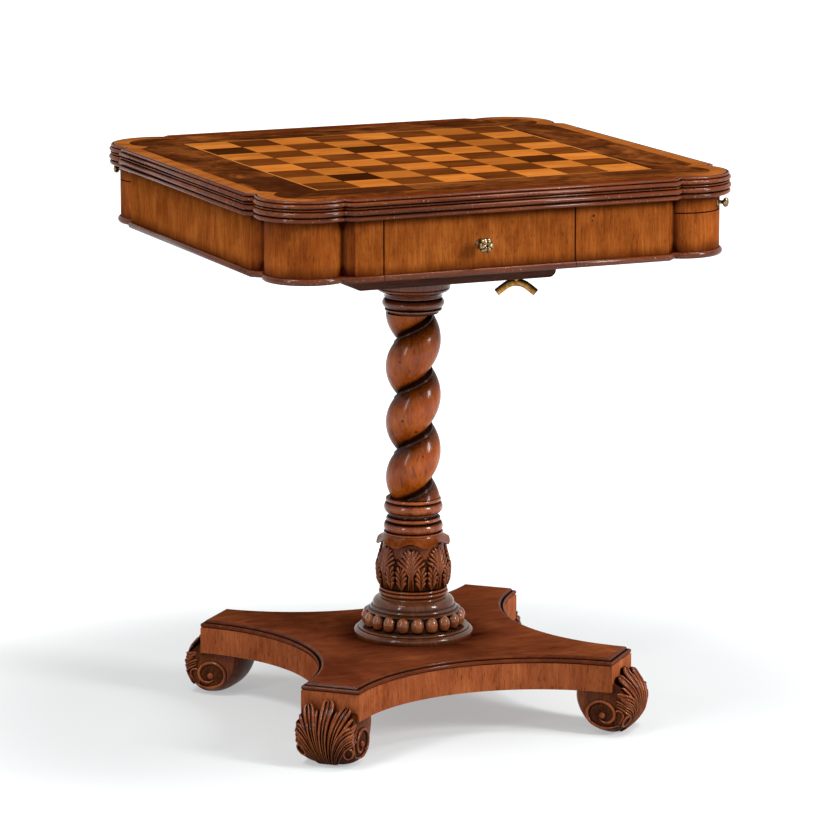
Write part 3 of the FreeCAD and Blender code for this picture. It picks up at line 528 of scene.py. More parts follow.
finishes = {
    "reeds": wood("reeded_mahogany", ((60, 24, 7), (106, 47, 17), (140, 71, 29)), axis=X, across=150.0,
                  along=9.0, gloss=0.28, coat=0.45, haze=0.1, pores=0.35, wax_and_shade=DARK_WAX_AND_SHADE, occlusion_shade_reach=0.005,
                  worn=(214, 168, 132)),
    "light": square_finish("light_veneer", ((146, 79, 26), (174, 100, 36), (194, 122, 52)),
                           darkest=(154, 86, 29), contrast=0.2, across=170.0),
    "dark": square_finish("dark_veneer", ((60, 27, 8), (92, 45, 14), (118, 62, 22)),
                          darkest=(40, 16, 5), contrast=0.5, across=150.0),
    "string": wood("stringing_line", ((146, 84, 32), (176, 110, 48), (192, 130, 66)), axis=X, across=200.0,
                   along=10.0, gloss=0.5, coat=0.0),
    "border": border_finish(),
    "crossband": crossband_finish(),
    "apron": wood("apron_veneer", ((110, 52, 17), (153, 80, 30), (186, 108, 47)), across=330.0, along=26.0,
                  gloss=0.42, coat=0.0, pores=0.5, specks=42.0, shade=edge_shade, gap_shadow=drawer_gap_shadow),
    "corner": wood("corner_veneer", ((104, 48, 15), (150, 75, 26), (182, 102, 41)), across=330.0, along=26.0,
                   gloss=0.42, coat=0.04, pores=0.5, specks=42.0, shade=corner_shade, gap_shadow=slide_gap_shadow),
    "bead": wood("base_bead", ((56, 21, 8), (96, 43, 19), (124, 63, 32)), axis=X, across=160.0, along=9.0,
                 gloss=0.3, coat=0.5, pores=0.35, wax_and_shade=DARK_WAX_AND_SHADE, occlusion_shade_reach=0.004, worn=(222, 178, 142)),
    "oak": wood("drawer_oak", ((132, 96, 58), (172, 132, 84), (198, 160, 110)), axis=Y, across=130.0,
                along=6.0, gloss=0.6, coat=0.0, pores=0.7),
    "bearer": wood("bearer_wood", ((58, 31, 21), (86, 50, 36), (106, 66, 48)), axis=X, across=120.0,
                   along=6.0, gloss=0.5, coat=0.1, pores=0.6, wax_and_shade=DARK_WAX_AND_SHADE),
    "twist": wood("twist_mahogany", ((98, 37, 6), (168, 76, 15), (214, 113, 32)), across=60.0, along=14.0,
                  gloss=0.28, coat=0.6, haze=0.18, pores=0.45, specks=42.0, rarity=0.38, wax_and_shade=(36, 13, 5),
                  occlusion_shade_reach=0.03, polish=0.6),
    "turned": wood("turned_mahogany", ((82, 32, 9), (158, 73, 25), (204, 110, 45)), across=80.0, along=14.0,
                   gloss=0.28, coat=0.9, pores=0.35, specks=38.0, wax_and_shade=DARK_WAX_AND_SHADE, occlusion_shade_reach=0.004, polish=0.15,
                   shade=cap_shade),
    "carved": wood("carved_mahogany", ((84, 34, 11), (136, 65, 25), (170, 95, 43)), across=90.0, along=14.0,
                   gloss=0.3, coat=0.6, haze=0.12, pores=0.3, wax_and_shade=(22, 10, 5), occlusion_shade_reach=0.008),
    "foot": wood("foot_mahogany", ((78, 33, 10), (131, 61, 23), (182, 101, 45)), across=90.0, along=14.0,
                 gloss=0.28, coat=0.5, haze=0.1, pores=0.3, wax_and_shade=(20, 8, 4), occlusion_shade_reach=0.011),
    "base": wood("beaded_base_mahogany", ((62, 31, 15), (98, 53, 29), (126, 72, 41)), across=90.0, along=14.0,
                 gloss=0.24, coat=0.75, haze=0.12, pores=0.3, wax_and_shade=(22, 11, 7), occlusion_shade_reach=0.004, polish=0.2),
    "egg": wood("egg_mahogany", ((86, 42, 20), (144, 80, 42), (182, 110, 64)), across=90.0, along=14.0,
                gloss=0.24, coat=1.0, haze=0.13, pores=0.3, wax_and_shade=(20, 10, 6), occlusion_shade_reach=0.004),
    "flame": wood("platform_flame", ((80, 36, 19), (119, 59, 33), (154, 86, 48)), axis=X, across=34.0,
                  along=10.0, gloss=0.5, coat=0.0, pores=0.2, spread=0.24, shade=platform_shade),
    "side": wood("platform_side", ((112, 54, 28), (160, 84, 47), (188, 109, 63)), across=200.0, along=22.0,
                 gloss=0.4, coat=0.06, pores=0.5, specks=36.0),
    "edge": wood("platform_moulding", ((62, 26, 11), (102, 46, 20), (132, 66, 31)), axis=X, across=110.0,
                 along=9.0, gloss=0.22, haze=0.1, pores=0.3, wax_and_shade=DARK_WAX_AND_SHADE, occlusion_shade_reach=0.004),
    "knob": metal("knob_brass", ((96, 76, 50), (146, 124, 90), (196, 178, 144)), rough=0.14),
    "wing": metal("wing_brass", ((112, 78, 36), (150, 108, 52), (186, 142, 78)), rough=0.24),
    "iron": metal("dark_iron", ((70, 66, 62), (98, 94, 90), (124, 120, 116)), rough=0.4),
}


# Mesh helpers

def hollow_layer(bm):
    """Each vertex's depth in the carving, from 0 on a crest to 1 in a groove."""
    layers = bm.verts.layers.float
    return layers.get("hollow") or layers.new("hollow")


def draw(bm, rings, closed=True, hollows=None, materials=None, lie=None):
    """A sheet through the points of each ring.

    Hollows gives the depth of each ring or of each of its points, materials the slot of each band between
    rings, and lie the flat place of a point by its ring and number.
    """
    depth = hollow_layer(bm)
    flat = bm.verts.layers.float_vector.new("lie") if lie else None
    count = len(rings[0])
    columns = count if closed else count - 1
    spans = len(rings) - 1
    verts = bmesh.ops.create_grid(bm, x_segments=columns, y_segments=spans, size=1.0)["verts"]
    places = [(round((vert.co.x + 1) / 2 * columns), round((vert.co.y + 1) / 2 * spans)) for vert in verts]
    if materials:
        for face in {face for vert in verts for face in vert.link_faces}:
            face.material_index = materials[int((face.calc_center_median().y + 1) / 2 * spans)]
    for vert, (column, row) in zip(verts, places):
        number = column % count
        vert.co = rings[row][number]
        if hollows:
            value = hollows[row]
            vert[depth] = value[number] if isinstance(value, list) else value
        if lie:
            vert[flat] = lie(row, number)
    if closed:
        seam = [vert for vert, (column, _) in zip(verts, places) if column in (0, columns)]
        bmesh.ops.remove_doubles(bm, verts=seam, dist=SEAM_MERGE)


def close_ends(bm):
    """Fills every open loop."""
    bmesh.ops.holes_fill(bm, edges=bm.edges, sides=0)


def spun(bm, profile, steps=SPIN_STEPS):
    """A turned form. The profile's rows are a radius, a height and a hollow, from the bottom up."""
    depth = hollow_layer(bm)
    line = [bm.verts.new((radius, 0.0, height)) for radius, height, _ in profile]
    for vert, (_, _, hollow) in zip(line, profile):
        vert[depth] = hollow
    edges = [bm.edges.new(pair) for pair in zip(line, line[1:])]
    bmesh.ops.spin(bm, geom=line + edges, cent=(0, 0, 0), axis=(0, 0, 1), angle=math.tau, steps=steps,
                   use_merge=True, use_duplicate=False)
    bmesh.ops.remove_doubles(bm, verts=bm.verts, dist=SPIN_MERGE)


def show(name, data):
    """An object in the scene."""
    thing = bpy.data.objects.new(name, data)
    bpy.context.scene.collection.objects.link(thing)
    return thing


def settle(bm, name, body, slot, materials, *nodes, sharp=40.0, merge=MERGE):
    """Makes the piece's object, with smooth faces that break at sharp edges, and ties it to its body."""
    bmesh.ops.remove_doubles(bm, verts=bm.verts, dist=merge)
    bmesh.ops.recalc_face_normals(bm, faces=bm.faces)
    for face in bm.faces:
        face.smooth = True
    mesh = bpy.data.meshes.new(name)
    bm.to_mesh(mesh)
    bm.free()
    mesh.set_sharp_from_angle(angle=math.radians(sharp))
    for material in materials:
        mesh.materials.append(finishes[material])
    thing = show(name, mesh)
    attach(thing, body)
    if nodes:
        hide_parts(*nodes)


def arc_profile(points, steps=7):
    """A turned profile from rows of radius, height, swell and hollow. The swell bows the run that leads to a
    row, as a share of the run's length, outwards where positive."""
    rows = [(points[0][0], points[0][1], points[0][3])]
    for (start_r, start_z, _, start_h), (end_r, end_z, swell, end_h) in zip(points, points[1:]):
        run = Vector((end_r - start_r, end_z - start_z))
        side = Vector((run.y, -run.x))
        count = steps if swell else 1
        for step in range(1, count + 1):
            share = step / count
            bow = 4 * swell * share * (1 - share)
            hollow = start_h + (end_h - start_h) * share
            if swell > 0:
                hollow = hollow * (1 - math.sin(math.pi * share))
            radius = start_r + run.x * share + side.x * bow
            height = start_z + run.y * share + side.y * bow
            rows.append((radius, height, hollow))
    return rows


def turned_profile(low, rows):
    """A turned profile from rows of radius and height above a foot, both in millimetres, swell and hollow."""
    return arc_profile([(radius / MM_PER_METRE, low + height / MM_PER_METRE, swell, hollow)
                        for radius, height, swell, hollow in rows])


def node_heights(node):
    low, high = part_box(node)
    return low.z, high.z


def z_turn(degrees):
    return Matrix.Rotation(math.radians(degrees), 3, "Z")


# Outlines

def corner_line(inset):
    """Points round the corner between +X and +Y, from its start to its end, drawn in by an inset."""
    face = TOP_HALF - inset
    run = TOP_HALF - CORNER_REACH - inset * (ROOT_TWO - 1)
    cant = (face + run) / ROOT_TWO
    radius = LOBE_RADIUS - inset
    spread = math.acos((cant - LOBE_OUT) / radius)
    points = [Vector((face, run, 0.0))]
    for step in range(LOBE_STEPS + 1):
        angle = -spread + 2 * spread * step / LOBE_STEPS
        out = LOBE_OUT + radius * math.cos(angle)
        side = radius * math.sin(angle)
        points.append(Vector(((out - side) / ROOT_TWO, (out + side) / ROOT_TWO, 0.0)))
    points.append(Vector((run, face, 0.0)))
    return points


def top_ring(inset, height):
    """The outline of the top, drawn in by an inset, at a height."""
    return [z_turn(90 * quarter) @ point + Vector((0, 0, height))
            for quarter in range(4) for point in corner_line(inset)]


def half_round(steps):
    """Down a half-round member: the share of its height, of its swell, and its hollow at each step."""
    rows = []
    for step in range(steps + 1):
        angle = math.pi * step / steps
        rows.append(((1 - math.cos(angle)) / 2, math.sin(angle), 1 - math.sin(angle) ** 0.5))
    return rows


# Top and apron mouldings

def reed_rows():
    """Insets, heights and hollows down the reeds of the top's edge."""
    rows = [(REED_DEPTH, TOP_Z, 1.0)]
    drop = 0.0
    for height_share, swell_share in zip(REED_HEIGHT_SHARES, REED_SWELL_SHARES):
        height = height_share * (TOP_Z - UNDERSIDE_Z)
        for fall, swell, hollow in half_round(REED_STEPS)[1:]:
            rows.append((REED_DEPTH * (1 - swell * swell_share), TOP_Z - drop - height * fall, hollow))
        drop += height
    return rows


def make_reeded_top():
    bm = bmesh.new()
    rows = [(INLAY_MARGIN, BED_Z, 0.6), (INLAY_MARGIN, TOP_Z, 0.4)] + reed_rows()
    rings = [top_ring(inset, height) for inset, height, _ in rows]
    draw(bm, rings, hollows=[hollow for _, _, hollow in rows])
    close_ends(bm)
    settle(bm, "reeded_top", "table", "top_mahogany", ["reeds"], "top_panel", sharp=50.0)


def make_crossband():
    bm = bmesh.new()
    inner = INLAY_MARGIN + CROSSBAND_WIDTH
    rows = [(INLAY_MARGIN, BED_Z), (INLAY_MARGIN, TOP_Z), (inner, TOP_Z), (inner, BED_Z),
            (INLAY_MARGIN, BED_Z)]
    rings = [top_ring(inset, height) for inset, height in rows]
    walked = [0.0]
    for start, end in zip(rings[1], rings[1][1:]):
        walked.append(walked[-1] + (end - start).length)
    draw(bm, rings, lie=lambda row, number: (walked[number], rows[row][0], 0.0))
    settle(bm, "crossband", "table", "crossband", ["crossband"], "edge_crossband")


def bead_section(bm, point_at):
    """A half-round bead along a path that a function gives at any projection and height."""
    rings = []
    hollows = []
    for fall, swell, hollow in half_round(BEAD_STEPS):
        rings.append(point_at(BEAD_PROJECTION * swell, APRON_Z - (APRON_Z - BEAD_Z) * fall))
        hollows.append(hollow)
    back = [point_at(-BEAD_BACK, BEAD_Z), point_at(-BEAD_BACK, APRON_Z), rings[0]]
    draw(bm, rings + back, closed=False, hollows=hollows + [1.0, 1.0, 1.0])
    close_ends(bm)


def make_base_bead():
    """The bead runs from the right of the front drawer round to the back drawer, twice."""
    bm = bmesh.new()
    low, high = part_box("front_drawer_bead")
    for half_turn in (0, 180):

        def along(projection, height):
            inset = APRON_INSET - projection
            face = TOP_HALF - inset
            line = [Vector((high.x + DRAWER_GAP, -face, 0.0))]
            for quarter in (-90, 0):
                line += [z_turn(quarter) @ point for point in corner_line(inset)]
            line.append(Vector((DRAWER_GAP - low.x, face, 0.0)))
            return [z_turn(half_turn) @ point + Vector((0, 0, height)) for point in line]

        bead_section(bm, along)
    settle(bm, "base_bead", "table", "base_bead", ["bead"], "base_moulding", sharp=50.0)


def make_drawer_bead(side, half_turn):
    bm = bmesh.new()
    low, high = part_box("front_drawer_bead")

    def along(projection, height):
        face = TOP_HALF - APRON_INSET + projection
        places = (low.x, 0.5 * (low.x + high.x), high.x)
        return [z_turn(half_turn) @ Vector((x, -face, height)) for x in places]

    bead_section(bm, along)
    settle(bm, side + "_drawer_bead_strip", side + "_drawer", "base_bead", ["bead"], side + "_drawer_bead",
           sharp=50.0)


# Column

def make_cap():
    bm = bmesh.new()
    low, high = node_heights("column_cap")
    top = (high - low) * MM_PER_METRE
    spun(bm, turned_profile(low, (
        (0, 0, 0, 1), (34.0, 0, 0, 1), (35.2, 2.6, 0, 0.6), (38.4, 4.0, 0, 0.1), (38.6, 5.8, 0, 0.3),
        (37.0, 6.8, 0, 1), (38.6, 8.0, 0, 0.9), (38.6, 20.4, 0.28, 0.9), (37.2, 21.4, 0, 1),
        (39.0, 22.2, 0, 0.2), (39.0, 23.6, 0, 0.6), (46.2, 30.6, -0.14, 0.1), (47.4, 30.9, 0, 0.9),
        (48.8, 32.2, 0, 0.1), (48.8, 35.2, 0.2, 0.5), (50.2, 36.2, 0, 0.2), (50.2, top, 0, 0.3),
        (0, top, 0, 0.3),
    )))
    settle(bm, "turned_cap", "table", "column_mahogany", ["turned"], "column_cap")


def make_neck():
    bm = bmesh.new()
    low, high = node_heights("column_neck")
    top = (high - low) * MM_PER_METRE
    spun(bm, turned_profile(low, (
        (0, 0, 0, 1), (40.0, 0, 0, 0.6), (40.4, 2.2, 0.1, 0.4), (37.6, 3.2, 0, 1), (37.8, 15.8, 0.22, 1),
        (35.0, 16.6, 0, 1), (35.2, 23.2, 0.33, 1), (33.0, 24.0, 0, 0.9), (33.0, 27.2, -0.16, 0.6),
        (34.6, 27.6, 0, 0.3), (34.6, 28.6, 0, 0.5), (36.8, 29.2, 0, 1), (37.0, 43.2, 0.24, 1),
        (36.2, 44.0, 0, 1), (37.4, 44.8, 0, 0.2), (36.6, top, 0.2, 0.8), (0, top, 0, 1),
    )))
    settle(bm, "turned_neck", "table", "column_mahogany", ["turned"], "column_neck")


def twist_line(share):
    """Radius and hollow of the twist at a share of the turn up from its groove.

    The strand darkens towards the small fillet at its upper edge, part stain and part painted shade under the
    strand above.
    """
    rise = TWIST_RADIUS - TWIST_ROOT
    bow = ((TWIST_PITCH / 2) ** 2 + rise ** 2) / (2 * rise)
    radius = TWIST_RADIUS - bow + math.sqrt(bow ** 2 - ((share - 0.5) * TWIST_PITCH) ** 2)
    fillet = max(0.0, 1 - abs(share - TWIST_FILLET_PLACE) / TWIST_FILLET_REACH)
    # Darkening near the upper edge and the groove: part stain, part painted shade
    stain = max(0.0, 1 - (1 - share) / TWIST_STAIN_AND_SHADE_REACH)
    root = max(0.0, 1 - share / TWIST_ROOT_REACH)
    return radius + TWIST_FILLET * fillet ** 0.5, max(stain, root)


def make_twist():
    """The twist's section, spun and raised along the column at once."""
    bm = bmesh.new()
    low, high = node_heights("twist_shaft")
    depth = hollow_layer(bm)
    ring = []
    for side in range(TWIST_SIDES):
        share = side / TWIST_SIDES
        radius, hollow = twist_line(share)
        angle = math.tau * TWIST_START_SHARE - math.tau * share
        vert = bm.verts.new((radius * math.cos(angle), radius * math.sin(angle), low))
        vert[depth] = hollow
        ring.append(vert)
    edges = [bm.edges.new(pair) for pair in zip(ring, ring[1:] + ring[:1])]
    turns = (high - low) / TWIST_PITCH
    steps = round(TWIST_STEPS * turns)
    bmesh.ops.spin(bm, geom=ring + edges, cent=(0, 0, 0), axis=(0, 0, 1), dvec=(0, 0, (high - low) / steps),
                   angle=math.tau * turns, steps=steps, use_merge=False, use_duplicate=False)
    close_ends(bm)
    settle(bm, "twist_column", "table", "column_mahogany", ["twist"], "twist_shaft", sharp=60.0)


# Carved strands

def flat_line(points, steps=6):
    """A smooth open line through flat points."""
    points = [Vector(point) for point in points]
    line = [points[0]]
    padded = [points[0]] + points + [points[-1]]
    for before, start, end, after in zip(padded, padded[1:], padded[2:], padded[3:]):
        for step in range(1, steps + 1):
            t = step / steps
            square = 2 * before - 5 * start + 4 * end - after
            cube = 3 * start - before - 3 * end + after
            line.append(0.5 * ((2 * start) + (end - before) * t + square * t ** 2 + cube * t ** 3))
    return line


def tip_fade(share, start):
    """1 along a strand, then round to nothing at its tip."""
    return math.sqrt(max(0.0, 1 - max(0.0, (share - start) / (1.005 - start)) ** 2))


def rod_along(bm, rows, root=0.0006, floor=0.0, sides=8):
    """A carved strand, a half-round ridge along a path.

    Its rows are a point, an outward direction, a half width and a rise. The root is how deep
    it is let into the ground and the floor is the least hollow of its colour.
    """
    rings = []
    hollows = []
    last = len(rows) - 1
    for index, (point, outward, width, rise) in enumerate(rows):
        ahead = rows[min(index + 1, last)][0] - rows[max(index - 1, 0)][0]
        out = outward.normalized()
        side = ahead.cross(out).normalized()
        ring = []
        depth = []
        for step in range(sides + 1):
            angle = math.pi * step / sides
            ring.append(point + side * (math.cos(angle) * width) + out * (math.sin(angle) * rise))
            depth.append(max(floor, 0.95 * (1 - math.sin(angle)) ** 0.9))
        rings.append(ring + [point - out * root])
        hollows.append(depth + [1.0])
    draw(bm, rings, hollows=hollows)


# Carved vase. Its leaves are drawn flat, in millimetres to the side of a leaf's middle and up from its foot

LEAF_FOOT = 0.0186
VASE_UNROLLED_RADIUS = 48.0
# Heights and radii of the ground behind the leaves
VASE_GROUND = ((0.0, 44.6), (10.0, 46.2), (20.0, 47.2), (28.0, 47.3), (36.0, 46.2), (45.0, 43.8),
               (52.0, 42.2), (62.0, 40.6))
# Strands of a leaf: the height where each leaves the stem, then its tip's distance to the side and height
MAIN_STRANDS = ((36.0, 5.2, 57.5), (30.0, 10.2, 55.0), (25.0, 14.4, 51.0), (20.5, 17.8, 45.5),
                (16.5, 20.0, 39.5))
SIDE_STRANDS = ((1.0, 6.2, 13.0), (7.0, 7.4, 20.0), (13.0, 7.0, 27.0), (19.5, 5.2, 33.5))
SIDE_LEAF_PLACE = 13.4


def vase_ground(up):
    """Radius in metres of the ground behind the leaves at a height above their foot."""
    for (low, start), (high, end) in zip(VASE_GROUND, VASE_GROUND[1:]):
        if up <= high:
            break
    return (start + (end - start) * (up - low) / (high - low)) / MM_PER_METRE


def vase_strand(bm, middle, foot, flat, width, rise):
    """One strand of a vase leaf along a flat line."""
    line = flat_line(flat, 4)
    rows = []
    for index, spot in enumerate(line):
        share = index / (len(line) - 1)
        angle = middle + spot.x / VASE_UNROLLED_RADIUS
        out = Vector((math.cos(angle), math.sin(angle), 0.0))
        point = out * vase_ground(spot.y) + Vector((0, 0, foot + spot.y / MM_PER_METRE))
        fade = min(1.0, 0.35 + share * 1.3) * tip_fade(share, 0.72)
        rows.append((point, out, max(0.0001, width * fade), max(0.0001, rise * (0.45 + 0.55 * fade))))
    rod_along(bm, rows, sides=6)


def vase_leaf(bm, middle, foot):
    """A main leaf that opens like a palm, with a smaller leaf in front of it on either side."""
    vase_strand(bm, middle, foot, ((0, 0), (0, 30), (0, 57)), width=0.0012, rise=0.0030)
    for place in (3.0, -3.0):
        flat = ((place, 0), (place * 0.9, 14), (place * 0.4, 30))
        vase_strand(bm, middle, foot, flat, width=0.0017, rise=0.0022)
    for start, side, up in MAIN_STRANDS:
        for sign in (1, -1):
            flat = ((0.6 * sign, start), (side * 0.36 * sign, start + (up - start) * 0.58), (side * sign, up))
            vase_strand(bm, middle, foot, flat, width=0.0027, rise=0.0036)
    for place in (SIDE_LEAF_PLACE, -SIDE_LEAF_PLACE):
        vase_strand(bm, middle, foot, ((place, 0), (place, 18), (place, 38)), width=0.0011, rise=0.0042)
        for start, side, up in SIDE_STRANDS:
            for sign in (1, -1):
                bend = (place + side * 0.45 * sign, start + (up - start) * 0.55)
                flat = ((place + 0.4 * sign, start), bend, (place + side * sign, up))
                vase_strand(bm, middle, foot, flat, width=0.0027, rise=0.0046)


def make_vase():
    bm = bmesh.new()
    low, high = node_heights("carved_vase")
    foot = low + LEAF_FOOT
    rings = turned_profile(low, (
        (0, 0, 0, 1), (42.4, 0, 0, 0.9), (42.8, 5.4, -0.16, 0.7), (45.6, 6.6, 0, 0.9), (45.6, 12.0, 0.3, 0.9),
        (45.0, 12.4, 0, 1), (45.0, 16.4, 0.3, 0.9), (44.2, 18.0, 0, 1),
    ))
    body = [(vase_ground(up), foot + up / MM_PER_METRE, 0.78 if up < 44 else 0.5) for up in range(0, 62, 2)]
    top = [(0.0392, low + 0.0830, 1.0), (0.0392, high, 0.9), (0.0, high, 1.0)]
    spun(bm, rings + body + top)
    for number in range(LEAF_COUNT):
        vase_leaf(bm, LEAF_FIRST_ANGLE + math.tau * number / LEAF_COUNT, foot)
    settle(bm, "carved_vase_leaves", "table", "column_mahogany", ["carved"], "carved_vase", sharp=75.0,
           merge=CARVED_MERGE)


# The collar of drooping petals above the leaves: shares of its drop, radii and hollows, over its rim and back
COLLAR_ROWS = ((0.0, 0.0398, 0.6), (0.12, 0.0404, 0.25), (0.3, 0.0420, 0.1), (0.5, 0.0443, 0.1),
               (0.7, 0.0470, 0.05), (0.88, 0.0494, 0.0), (1.0, 0.0506, 0.0), (1.05, 0.0502, 0.0),
               (1.05, 0.0490, 0.5), (0.9, 0.0464, 0.9), (0.7, 0.0430, 1.0), (0.6, 0.0390, 1.0))
COLLAR_SIDES = 168
COLLAR_DROP = 0.0100
COLLAR_SCALLOP = 0.0032
COLLAR_TUCK_SHARE = 0.03


def make_collar():
    bm = bmesh.new()
    high = node_heights("carved_vase")[1]
    rings = []
    for share, radius, _ in COLLAR_ROWS:
        ring = []
        for index in range(COLLAR_SIDES):
            angle = math.tau * index / COLLAR_SIDES
            wave = math.cos(LEAF_COUNT * (angle - LEAF_FIRST_ANGLE))
            drop = COLLAR_DROP - COLLAR_SCALLOP * wave
            reach = radius * (1 - COLLAR_TUCK_SHARE * (0.5 + 0.5 * wave) * share)
            ring.append(Vector((reach * math.cos(angle), reach * math.sin(angle), high - drop * share)))
        rings.append(ring)
    draw(bm, rings, hollows=[hollow for _, _, hollow in COLLAR_ROWS])
    close_ends(bm)
    settle(bm, "petal_collar", "table", "column_mahogany", ["carved"], sharp=60.0)


def make_beaded_base():
    """The turned base with its ring of eggs. Its dome runs up past its node, under the vase."""
    bm = bmesh.new()
    low, high = node_heights("beaded_base")
    top = (high - low) * MM_PER_METRE
    spun(bm, turned_profile(low, (
        (0, 0, 0, 1), (79.8, 0, 0, 0.6), (80.6, 2.0, 0, 0.2), (76.8, 9.8, 0.26, 0.2), (75.2, 10.2, 0, 0.9),
        (74.8, 12.6, 0.1, 0.2), (72.4, 13.4, 0, 0.4), (61.6, 15.0, -0.1, 0.75), (59.0, 32.2, 0, 0.75),
        (63.6, 34.2, 0, 0.3), (63.6, 35.4, 0, 0.3), (59.0, 36.8, 0, 0.8), (58.6, 37.2, 0, 0.3),
        (57.6, 41.0, 0.2, 0.2), (56.0, 42.0, 0, 0.8), (46.2, top + 3.0, 0.2, 0.2),
        (43.6, top + 5.6, 0.1, 0.7), (0, top + 5.6, 0, 1),
    )), BASE_SPIN_STEPS)
    depth = hollow_layer(bm)
    for index in range(EGG_COUNT):
        angle = math.tau * (index + 0.5) / EGG_COUNT + LEAF_FIRST_ANGLE
        spot = Matrix.Translation((EGG_RING * math.cos(angle), EGG_RING * math.sin(angle), low + EGG_RISE))
        shape = spot @ (Matrix.Rotation(angle, 4, "Z") @ Matrix.Diagonal((*EGG_HALF_SIZE, 1.0)))
        egg = bmesh.ops.create_uvsphere(bm, u_segments=20, v_segments=14, radius=1.0, matrix=shape)["verts"]
        for vert in egg:
            vert[depth] = min(1.0, max(0.0, (EGG_CREST - vert.co.xy.length) / EGG_DEPTH))
            for face in vert.link_faces:
                face.material_index = 1
    settle(bm, "beaded_foot", "table", "column_mahogany", ["base", "egg"], "beaded_base", merge=CARVED_MERGE)


# Platform

def platform_ring(inset, height):
    """The platform's outline, four concave sides between four short ends, drawn in by an inset."""
    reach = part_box("platform")[1].x * ROOT_TWO - PLATFORM_END_WIDTH / 2
    corner_x = (reach - PLATFORM_END_WIDTH / 2) / ROOT_TWO
    corner_y = (reach + PLATFORM_END_WIDTH / 2) / ROOT_TWO
    deep = corner_y - PLATFORM_WAIST
    sweep = (corner_x ** 2 + deep ** 2) / (2 * deep)
    centre = Vector((0.0, PLATFORM_WAIST + sweep))
    out = Vector((1, 1)).normalized()
    across = Vector((-1, 1)).normalized()
    radius = sweep + inset
    end = reach - inset
    half = centre.dot(across) - math.sqrt(radius ** 2 - (centre.dot(out) - end) ** 2)
    first = out * end - across * half
    second = out * end + across * half
    low = math.atan2(second.y - centre.y, second.x - centre.x)
    high = -math.pi - low
    ring = []
    for side in range(4):
        turn = Matrix.Rotation(math.radians(90 * side), 2)
        ring.append(turn @ first)
        for step in range(PLATFORM_STEPS):
            angle = low + (high - low) * step / PLATFORM_STEPS
            ring.append(turn @ (centre + radius * Vector((math.cos(angle), math.sin(angle)))))
    return [Vector((point.x, point.y, height)) for point in ring]


def make_platform():
    """The slab with its moulding. The rows of its edge are an inset, a height, a hollow and a slot."""
    bm = bmesh.new()
    low, high = node_heights("platform")
    side, edge, field = range(3)
    rows = [(0.0, low, 0.5, side), (0.0, high - 0.0106, 0.1, side),
            (PLATFORM_BEAD_INSET, high - 0.0101, 1.0, side)]
    for rise, swell, hollow in half_round(PLATFORM_BEAD_STEPS):
        rows.append((PLATFORM_BEAD_INSET - PLATFORM_BEAD_SWELL * swell,
                     high - PLATFORM_BEAD_DROP + PLATFORM_BEAD_HEIGHT * rise, hollow, edge))
    rows.append((0.0046, high - 0.0038, 1.0, edge))
    for step in range(PLATFORM_ROUND_STEPS + 1):
        angle = math.pi / 2 * step / PLATFORM_ROUND_STEPS
        rows.append((PLATFORM_ROUND_INSET - PLATFORM_ROUND_REACH * math.cos(angle),
                     high - PLATFORM_ROUND_DROP + PLATFORM_ROUND_HEIGHT * math.sin(angle),
                     0.9 * (1 - math.sin(angle + 0.4)), edge))
    rows.append((0.0084, high, 0.9, edge))
    rings = [platform_ring(inset, height) for inset, height, _, _ in rows]
    draw(bm, rings, hollows=[row[2] for row in rows], materials=[row[3] for row in rows[1:]])
    rim = [line for line in bm.edges if line.is_boundary and line.verts[0].co.z > high - 0.0001]
    for face in bmesh.ops.holes_fill(bm, edges=rim, sides=0)["faces"]:
        face.material_index = field
    close_ends(bm)
    settle(bm, "platform_slab", "table", "platform_veneer", ["side", "edge", "flame"], "platform", sharp=45.0)


# Scroll feet. The foot is made pointing along +X, its scroll's axis across it

FOOT_END = 0.299
FOOT_TOP = 0.060
FOOT_HALF = 38.0
FOOT_DRAW = 0.14
FOOT_SECTION_SHARES = (0.3, 0.5, 0.65, 0.8, 0.9, 0.97, 1.0)
EYE = Vector((0.2855, 0.0, 0.0275))
EYE_HALF_SIZE = (0.0050, 0.0042, 0.0050)
STRAND_ROOT = 0.005
# The side outline in millimetres from the table's axis and up from the floor: the smooth heel, the leaf's
# front and the ground behind the leaf's tips
FOOT_HEEL = ((243.0, 60.0), (242.2, 53.0), (242.6, 45.0), (244.6, 37.0), (248.0, 29.0), (253.0, 20.5),
             (260.0, 12.5), (269.0, 6.0), (279.0, 1.8), (288.0, 0.3), (296.0, 0.0))
FOOT_FRONT = ((296.0, 0.0), (302.0, 1.4), (309.0, 6.0), (315.0, 12.5), (320.0, 20.5), (323.4, 29.5),
              (325.0, 39.0), (324.6, 47.5), (322.0, 56.0), (317.4, 64.0), (311.6, 71.0), (306.8, 76.5),
              (303.8, 81.5), (302.4, 86.0))
FOOT_GROUND = ((321.4, 54.0), (316.4, 61.0), (310.4, 66.6), (304.4, 70.6), (299.0, 72.6))
# Leaf lobes: their half width and a line of places, each a distance up the front and a distance to the side,
# which runs on over the edge and in across the flat side of the foot
FOOT_MIDDLE_LOBE = (9.0, ((4, 0), (35, 0), (70, 0), (98, 0), (106, 0)))
FOOT_LOBES = (
    (7.8, ((5, 4.8), (30, 8.5), (55, 14), (75, 20), (92, 25.5), (100, 28))),
    (7.2, ((6, 7.5), (26, 11.5), (43, 18), (55, 25), (62, 34), (66, 45), (67, 56))),
    (6.2, ((6, 10.5), (20, 16), (33, 23), (43, 31), (46, 41), (40, 49), (27, 54))),
)
